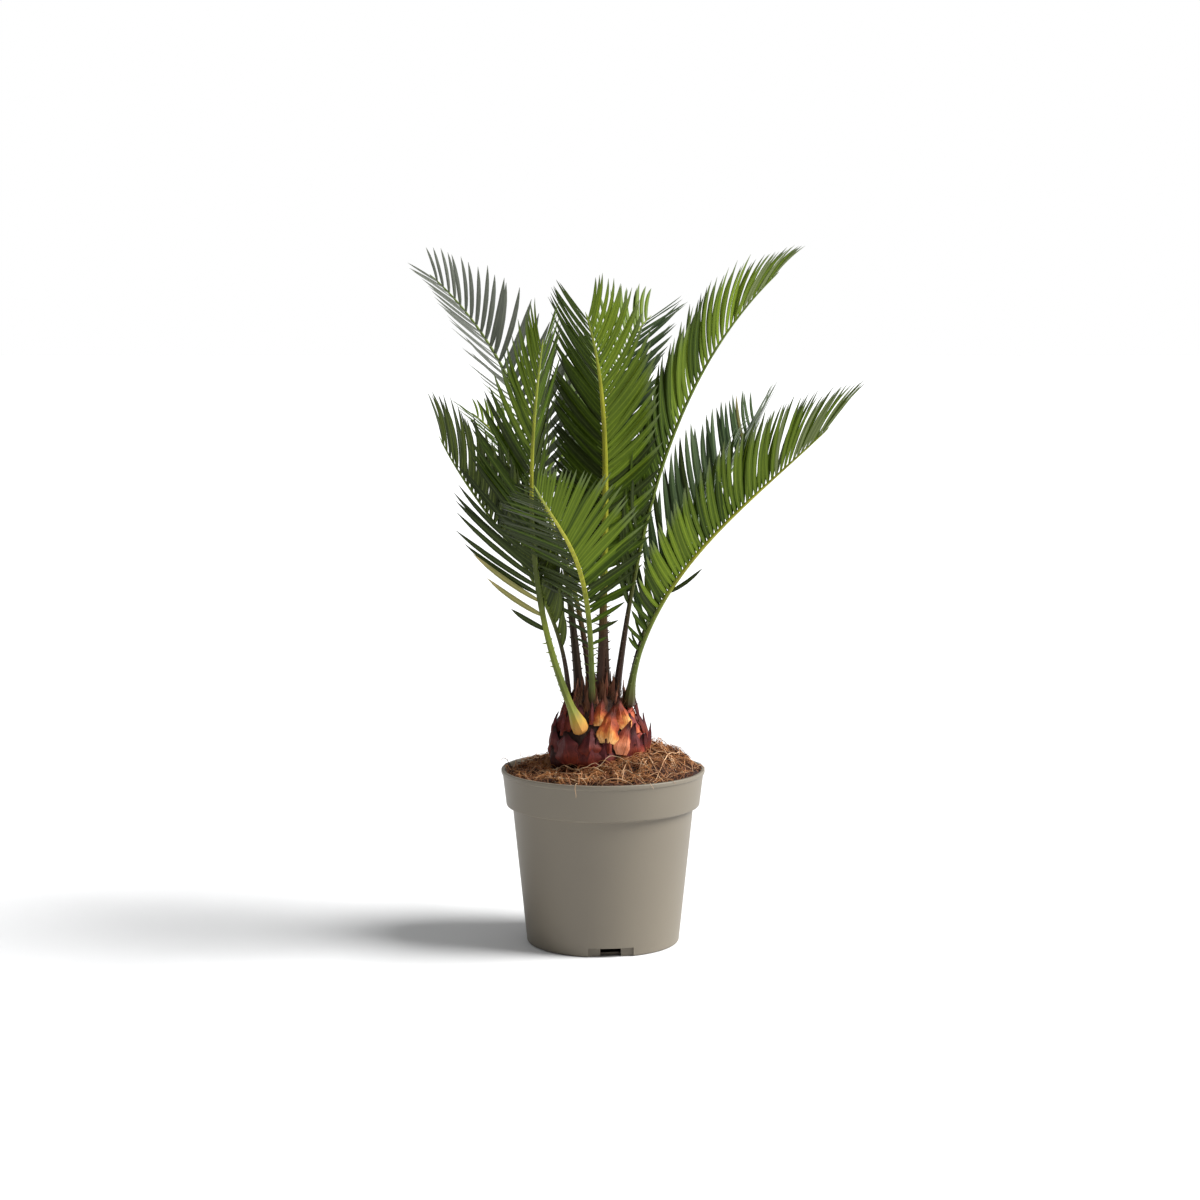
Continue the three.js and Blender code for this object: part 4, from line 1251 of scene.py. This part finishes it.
def walk_rib(frond):
    """Rows of place, along, up and side for each step of the rib, from its foot to its tip."""
    place = np.array(frond["foot"], float) * MM
    face = math.radians(frond["face"])
    up = -np.array([math.cos(face), math.sin(face), 0])
    rows = []
    for i in range(RIB_STEPS + 1):
        t = i / RIB_STEPS
        lean, heading = math.radians(through(*frond["lean"], t)), math.radians(lerp(frond["heading"], t))
        away = math.sin(lean)
        along = np.array([away * math.cos(heading), away * math.sin(heading), math.cos(lean)])
        up = unit(up - along * (up @ along))
        roll = math.radians(frond["twist"] * t)
        turned = up * math.cos(roll) + np.cross(along, up) * math.sin(roll)
        rows.append([place.copy(), along, turned, np.cross(along, turned)])
        place += along * frond["length"] * MM / RIB_STEPS
    return np.array(rows)


def station(rib, t):
    """The place, along, up and side at the share t of the rib."""
    spot = np.clip(t, 0, 1) * RIB_STEPS
    low = min(int(spot), RIB_STEPS - 1)
    place, along, up, side = rib[low] + (rib[low + 1] - rib[low]) * (spot - low)
    return place, unit(along), unit(up), unit(side)


RIBS = {name: walk_rib(frond) for name, frond in FRONDS.items()}
print("the highest rib ends", round(max(rib[-1, 0, 2] for rib in RIBS.values()) / MM), "mm up")

# %% Give the ribs their widths
RIB_HALF_TIP = 0.6
SWELLING = 10
SWELLING_AT = 2.5


def rib_half(frond, t):
    """Half the rib's width, in millimetres: swollen at the foot, even up the stalk, then tapering."""
    foot, stalk, blade = frond["stalk"]
    if t > frond["bare"]:
        return blade + (RIB_HALF_TIP - blade) * ((t - frond["bare"]) / (1 - frond["bare"])) ** 1.3
    swell = math.exp(-((max(t, 0) * frond["length"] - SWELLING_AT) / SWELLING) ** 2)
    return stalk + (foot - stalk) * swell + (blade - stalk) * max(t, 0) / frond["bare"]


print("ribs", [round(2 * rib_half(frond, 0), 1) for frond in FRONDS.values()], "mm wide at the foot")

# %% Lay the courses of the ribs and their spines
ROUND_FOOT = [(3, 0.5), (2, 0.82), (0.8, 0.96)]
RIB_POINT = 5
RIB_HALF_POINT = 0.15
SPINE_GAP = 6.5
SPINE_SHORTEST = 1.6
SPINE_GROWTH = 3.2
SPINE_REACH = np.array([0.62, 0.5, 0.32, 0.05]) * MM


def rib_course(frond, rib):
    """The rib from its rounded foot, just below where it stands, to its fine point."""
    foot, foot_way, foot_up, _ = station(rib, 0)
    end, end_way, end_up, _ = station(rib, 1)
    half = rib_half(frond, 0)
    stops = [(foot - foot_way * depth * MM, foot_up, half * share, 0) for depth, share in ROUND_FOOT]
    for t in np.linspace(0, 1, RIB_STEPS + 1):
        place, _, up, _ = station(rib, t)
        stops.append((place, up, rib_half(frond, t), t))
    stops.append((end + end_way * RIB_POINT * MM, end_up, RIB_HALF_POINT, 1))
    points, ups, reach, marks = (np.array(values) for values in zip(*stops))
    return course(points, ups, reach * MM, marks)


def spine_courses(frond, rib, draw):
    """Short spines in two rows up the stalk, which lengthen towards the first leaflets."""
    lines = []
    u = np.linspace(0, 1, len(SPINE_REACH))[:, None]
    for t in np.arange(0.25 * frond["bare"], frond["bare"] * 0.99, SPINE_GAP / frond["length"]):
        for hand in (1, -1):
            place, along, up, side = station(rib, t + draw.uniform(-0.004, 0.004))
            length = (SPINE_SHORTEST + SPINE_GROWTH * (t / frond["bare"]) ** 2) * draw.uniform(0.8, 1.3)
            way = unit(side * hand + 0.25 * up + along * draw.uniform(0.1, 0.5))
            root = side * hand * rib_half(frond, t) * 0.8
            points = place + (root + way * length * u) * MM + along * 0.5 * MM * u ** 2
            lines.append(course(points, up, SPINE_REACH, np.full(len(u), t)))
    return lines


# %% [markdown]
# A rib's colour has a place along it: yellow-green in the blade, or a dull green where its back is turned,
# and lower down either green or the brown of old wood, depending on the frond's age. One young frond starts
# from a yellow bulb, and a darker stretch halfway up its rib is painted shade, where leaflets cross in front
# of it. The sweep left `along` on the mesh, so a ramp on that mark does it without any image. A noise
# stretched up the stalk adds the fibres' streaks.

# %% Finish and sweep the ribs
def rib_finish(name, stops):
    finish = Finish(name, 0.5, 0.2)
    streaks = finish.speckle(260, 2, (1, 1, 0.12))
    run = finish.ramp(finish.mark("along") + 0.05 * finish.speckle(30) - 0.025, stops)
    finish.colour(finish.blend(0.35 * finish.step(streaks, 0.4, 0.7), run, paint("#2a2410")))
    finish.bump(streaks, 0.2 * MM, 0.5)
    return finish


RIB_COLOURS = {
    # The dark stretch of this run, from 0.37 to 0.58 along the rib, is painted shade.
    "bulb": [(0, "#c9914a"), (0.03, "#b3953c"), (0.06, "#86883a"), (0.12, "#5f6c2c"), (0.3, "#717c28"),
             (0.37, "#444e1c"), (0.58, "#48521e"), (0.66, "#97982a"), (1, "#84913a")],
    "green": [(0, "#40301c"), (0.05, "#505426"), (0.12, "#5d6c2c"), (0.3, "#737f2c"), (0.45, "#97982a"),
              (0.8, "#a09f30"), (1, "#84913a")],
    "brown": [(0, "#2c1710"), (0.16, "#3d2416"), (0.24, "#5a4a1c"), (0.32, "#7c8226"), (0.5, "#97982a"),
              (0.8, "#a09f30"), (1, "#7f8f3a")],
    "leafy": [(0, "#2c1710"), (0.16, "#33261a"), (0.24, "#464a1c"), (0.35, "#5c6a22"), (1, "#6b7c38")],
}
RIB_FINISHES = {kind: rib_finish("rib_" + kind, stops) for kind, stops in RIB_COLOURS.items()}
for name, frond in FRONDS.items():
    finish = RIB_FINISHES[frond["rib"]]
    draw = np.random.default_rng(len(name) + frond["length"])
    lines = [rib_course(frond, RIBS[name])] + spine_courses(frond, RIBS[name], draw)
    sweep_lines("rib_" + name, lines, ROUND_SECTION, finish, "foliage", "frond_" + name)

# %% [markdown]
# ### The leaflets
#
# A leaflet leaves the rib at its splay angle and bends forward, its edges roll down a little and its
# point is sharp. Its course is walked like the rib's. Small seeded differences in angle, length, roll
# and bend keep the comb from looking stamped, and at the foot of the blade every second pair is left
# out, as the lowest leaflets stand apart. Each course then goes through the sweep recipe with a keeled
# blade of six corners, so a leaflet has a few dozen faces.

# %% Give the leaflets their lengths
def leaflet_length(frond, share):
    """How long a leaflet is at a share of the blade: growing to `full`, then falling away."""
    if share < frond["full"]:
        rise = math.sin(math.pi / 2 * share / frond["full"])
        return frond["leaflet"] * (frond["low"] + (1 - frond["low"]) * rise)
    fall = (share - frond["full"]) / (1 - frond["full"])
    return frond["leaflet"] * (frond["high"] + (1 - frond["high"]) * math.cos(math.pi / 2 * fall) ** 0.9)


longest = {name: leaflet_length(frond, frond["full"]) for name, frond in FRONDS.items()}
print("longest leaflets", longest, "mm")

# %% Lay a leaflet's course
LEAFLET_POINTS = 9
FULL_WIDTH_LENGTH = 32 * MM
SPREAD = {"splay": 1.6, "lift": 2.5, "curve": 4, "roll": 6, "length": 0.025, "width": 0.05}
SAG = (2, 12)
FAN_SHAPE = ([0, 0.4, 0.75, 1], [0, 0.3, 1, -0.8])
LEAFLET_SHAPE = ([0, 0.06, 0.2, 0.5, 0.75, 0.9, 1], [0.5, 0.75, 0.95, 1, 0.78, 0.42, 0.04])


def leaflet_course(frond, rib, share, hand, draw):
    t = frond["bare"] + (1 - frond["bare"]) * share
    root, along, up, side = station(rib, t)
    row = (hand + 1) // 2
    splay = through(*frond["splay"], share) + frond.get("fan", 0) * np.interp(share, *FAN_SHAPE)
    splay += draw.normal(0, SPREAD["splay"])
    lift = math.radians(frond["lift"][row] + draw.normal(0, SPREAD["lift"]))
    curve = frond["curve"] + draw.normal(0, SPREAD["curve"])
    sag = math.radians(draw.uniform(*SAG))
    roll = math.radians(frond.get("roll", (0, 0))[row] + draw.normal(0, SPREAD["roll"]))
    length = leaflet_length(frond, share) * draw.normal(1, SPREAD["length"]) * MM
    outward = side * hand * math.cos(lift) + up * math.sin(lift)
    flat = np.cross(along, outward)
    flat *= np.sign(flat @ up) or 1
    points, ups = [root], []
    for u in np.linspace(0, 1, LEAFLET_POINTS):
        angle = math.radians(splay - curve * (u - 0.5))
        way = unit(along * math.cos(angle) + outward * math.sin(angle) - flat * math.sin(sag * u))
        normal = unit(flat - way * (flat @ way))
        ups.append(normal * math.cos(roll) + np.cross(way, normal) * math.sin(roll))
        points.append(points[-1] + way * length / (LEAFLET_POINTS - 1))
    points = np.array(points[:-1])
    u = np.linspace(0, 1, LEAFLET_POINTS)
    narrow = min(1, length / FULL_WIDTH_LENGTH) ** 0.5 * np.interp(share, [0.6, 1], [1, 0.5])
    reach = frond["wide"] / 2 * MM * narrow * draw.normal(1, SPREAD["width"]) * np.interp(u, *LEAFLET_SHAPE)
    return course(points, np.array(ups), reach, u)


# %% Lay the stray leaflet
STRAY_AT = 0.355
STRAY_WAY = np.array([24, -5, 18])
STRAY_SAG = 1.5 * MM
STRAY_HALF = 1.5 * MM


def stray_course(rib):
    """One leaflet of the low right frond that hangs out on the wrong side of its rib."""
    place = station(rib, STRAY_AT)[0]
    u = np.linspace(0, 1, LEAFLET_POINTS)
    points = place + np.outer(u, STRAY_WAY * MM) + np.outer(np.sin(math.pi * u), (0, 0, -STRAY_SAG))
    return course(points, (0.0, -1.0, 0.3), STRAY_HALF * np.interp(u, *LEAFLET_SHAPE), u)


# %% [markdown]
# Eight greens are dealt out as plain colours. The brightest green, on rows that face the lamp, is painted
# light, and the darker greens, on rows turned from it and low in the crown, are painted shade; middle green
# is the leaves' own. Pale ones go at the tips of two fronds and bluish ones at the back, and the grey green
# at the back is a painted sheen, the white backdrop's reflection. A row's greens run from its foot to its
# tip. Some leaflets take a neighbour's green, as on any plant, and three old ones at the edge have turned to
# straw.

# %% Mix the greens
DRIFT = (0.35, 0.65)
MIDRIB_HIGHLIGHT_SPAN = (0.05, 0.32)
MIDRIB_HIGHLIGHT_SHOWS = 0.75
TIP = (0.7, 1.0)
TIP_SHOWS = 0.6


def leaf_finish(name, code, edge, tip="#6a715e", roughness=0.34):
    """A leaf green with a paler line down the middle, partly its own vein and partly a painted highlight on
    its ridge, drifting a little in tone over the plant.
    """
    finish = Finish(name, roughness, 0.11)
    drift = finish.speckle(14, 2)
    paler = finish.blend(0.45, paint(code), paint(edge))
    body = finish.blend(0.7 * finish.step(drift, *DRIFT), paint(code), paler)
    # The pale line down each leaflet is partly its own central vein and partly a painted highlight along the
    # ridge.
    midrib_highlight = (1 - finish.step(abs(finish.mark("across")), *MIDRIB_HIGHLIGHT_SPAN)) * MIDRIB_HIGHLIGHT_SHOWS
    dull_tip = finish.step(finish.mark("along"), *TIP) * TIP_SHOWS
    body = finish.blend(midrib_highlight, body, paint(edge))
    finish.colour(finish.blend(dull_tip, body, paint(tip)))
    finish.rough(roughness + 0.14 * drift)
    return finish


# The brightest green is painted light for rows that face the lamp; the darker greens are painted shade for
# rows turned from it and low in the crown.
LEAF_FINISHES = {
    "bright": leaf_finish("leaf_bright", "#5f761a", "#86992a"),
    "mid": leaf_finish("leaf_mid", "#4c6114", "#738526"),
    "pale": leaf_finish("leaf_pale", "#5f6b3e", "#7f8a58", "#7c8272"),
    "deep": leaf_finish("leaf_deep", "#2a3c06", "#55681c", "#343c22"),
    "shade": leaf_finish("leaf_shade", "#222c0b", "#434f25", "#272d1b"),
    "olive": leaf_finish("leaf_olive", "#38440f", "#5e6b28", "#373f22"),
    # This grey is painted sheen: the white backdrop's reflection on the leaflets at the back, over their
    # green.
    "ashen": leaf_finish("leaf_ashen", "#767a70", "#8d9184"),
    "bluish": leaf_finish("leaf_bluish", "#37492c", "#62744c"),
    "dry": leaf_finish("leaf_dry", "#777648", "#a0985c", "#bba97c", 0.6),
}
NEIGHBOUR = {"bright": "mid", "pale": "mid", "mid": "deep", "deep": "shade", "shade": "deep",
             "olive": "shade", "ashen": "ashen", "bluish": "shade"}
DRY = {("front_left", 2, 1), ("front_left", 4, 1), ("back_right", 28, -1)}
print(len(LEAF_FINISHES), "leaf finishes")

# %% Sweep the leaflets
SPARSE_SHARE = 0.13
NEIGHBOUR_SHARE = 0.13
TONE_DRIFT = 0.05
ROW_TONES = {name: [row.split() for row in frond["tones"]] for name, frond in FRONDS.items()}

leaflet_count = 0
for name, frond in FRONDS.items():
    draw = np.random.default_rng(int(frond["length"] + 10 * frond["leaflet"]))
    by_tone = {}
    for i in range(frond["pairs"]):
        for hand, tones in zip((-1, 1), ROW_TONES[name]):
            share = (i + 0.5) / frond["pairs"]
            if share < SPARSE_SHARE and i % 2:
                continue
            line = leaflet_course(frond, RIBS[name], share, hand, draw)
            tone = tones[int(len(tones) * np.clip(share + draw.normal(0, TONE_DRIFT), 0, 0.99))]
            if draw.uniform() < NEIGHBOUR_SHARE:
                tone = NEIGHBOUR[tone]
            if (name, i, hand) in DRY:
                tone = "dry"
            by_tone.setdefault(tone, []).append(line)
    if name == "low_right":
        by_tone["shade"].append(stray_course(RIBS[name]))
    for tone, lines in by_tone.items():
        sweep_lines(f"leaflets_{name}_{tone}", lines, BLADE_SECTION, LEAF_FINISHES[tone], "foliage",
                    "frond_" + name)
        leaflet_count += len(lines)
print(leaflet_count, "leaflets")

# %% [markdown]
# ## Clearing up
#
# The helper sections go, since they aren't part of the plant.

# %% Clear up
for helper in (ROUND_SECTION, FIBRE_SECTION, BLADE_SECTION):
    bpy.data.objects.remove(helper)
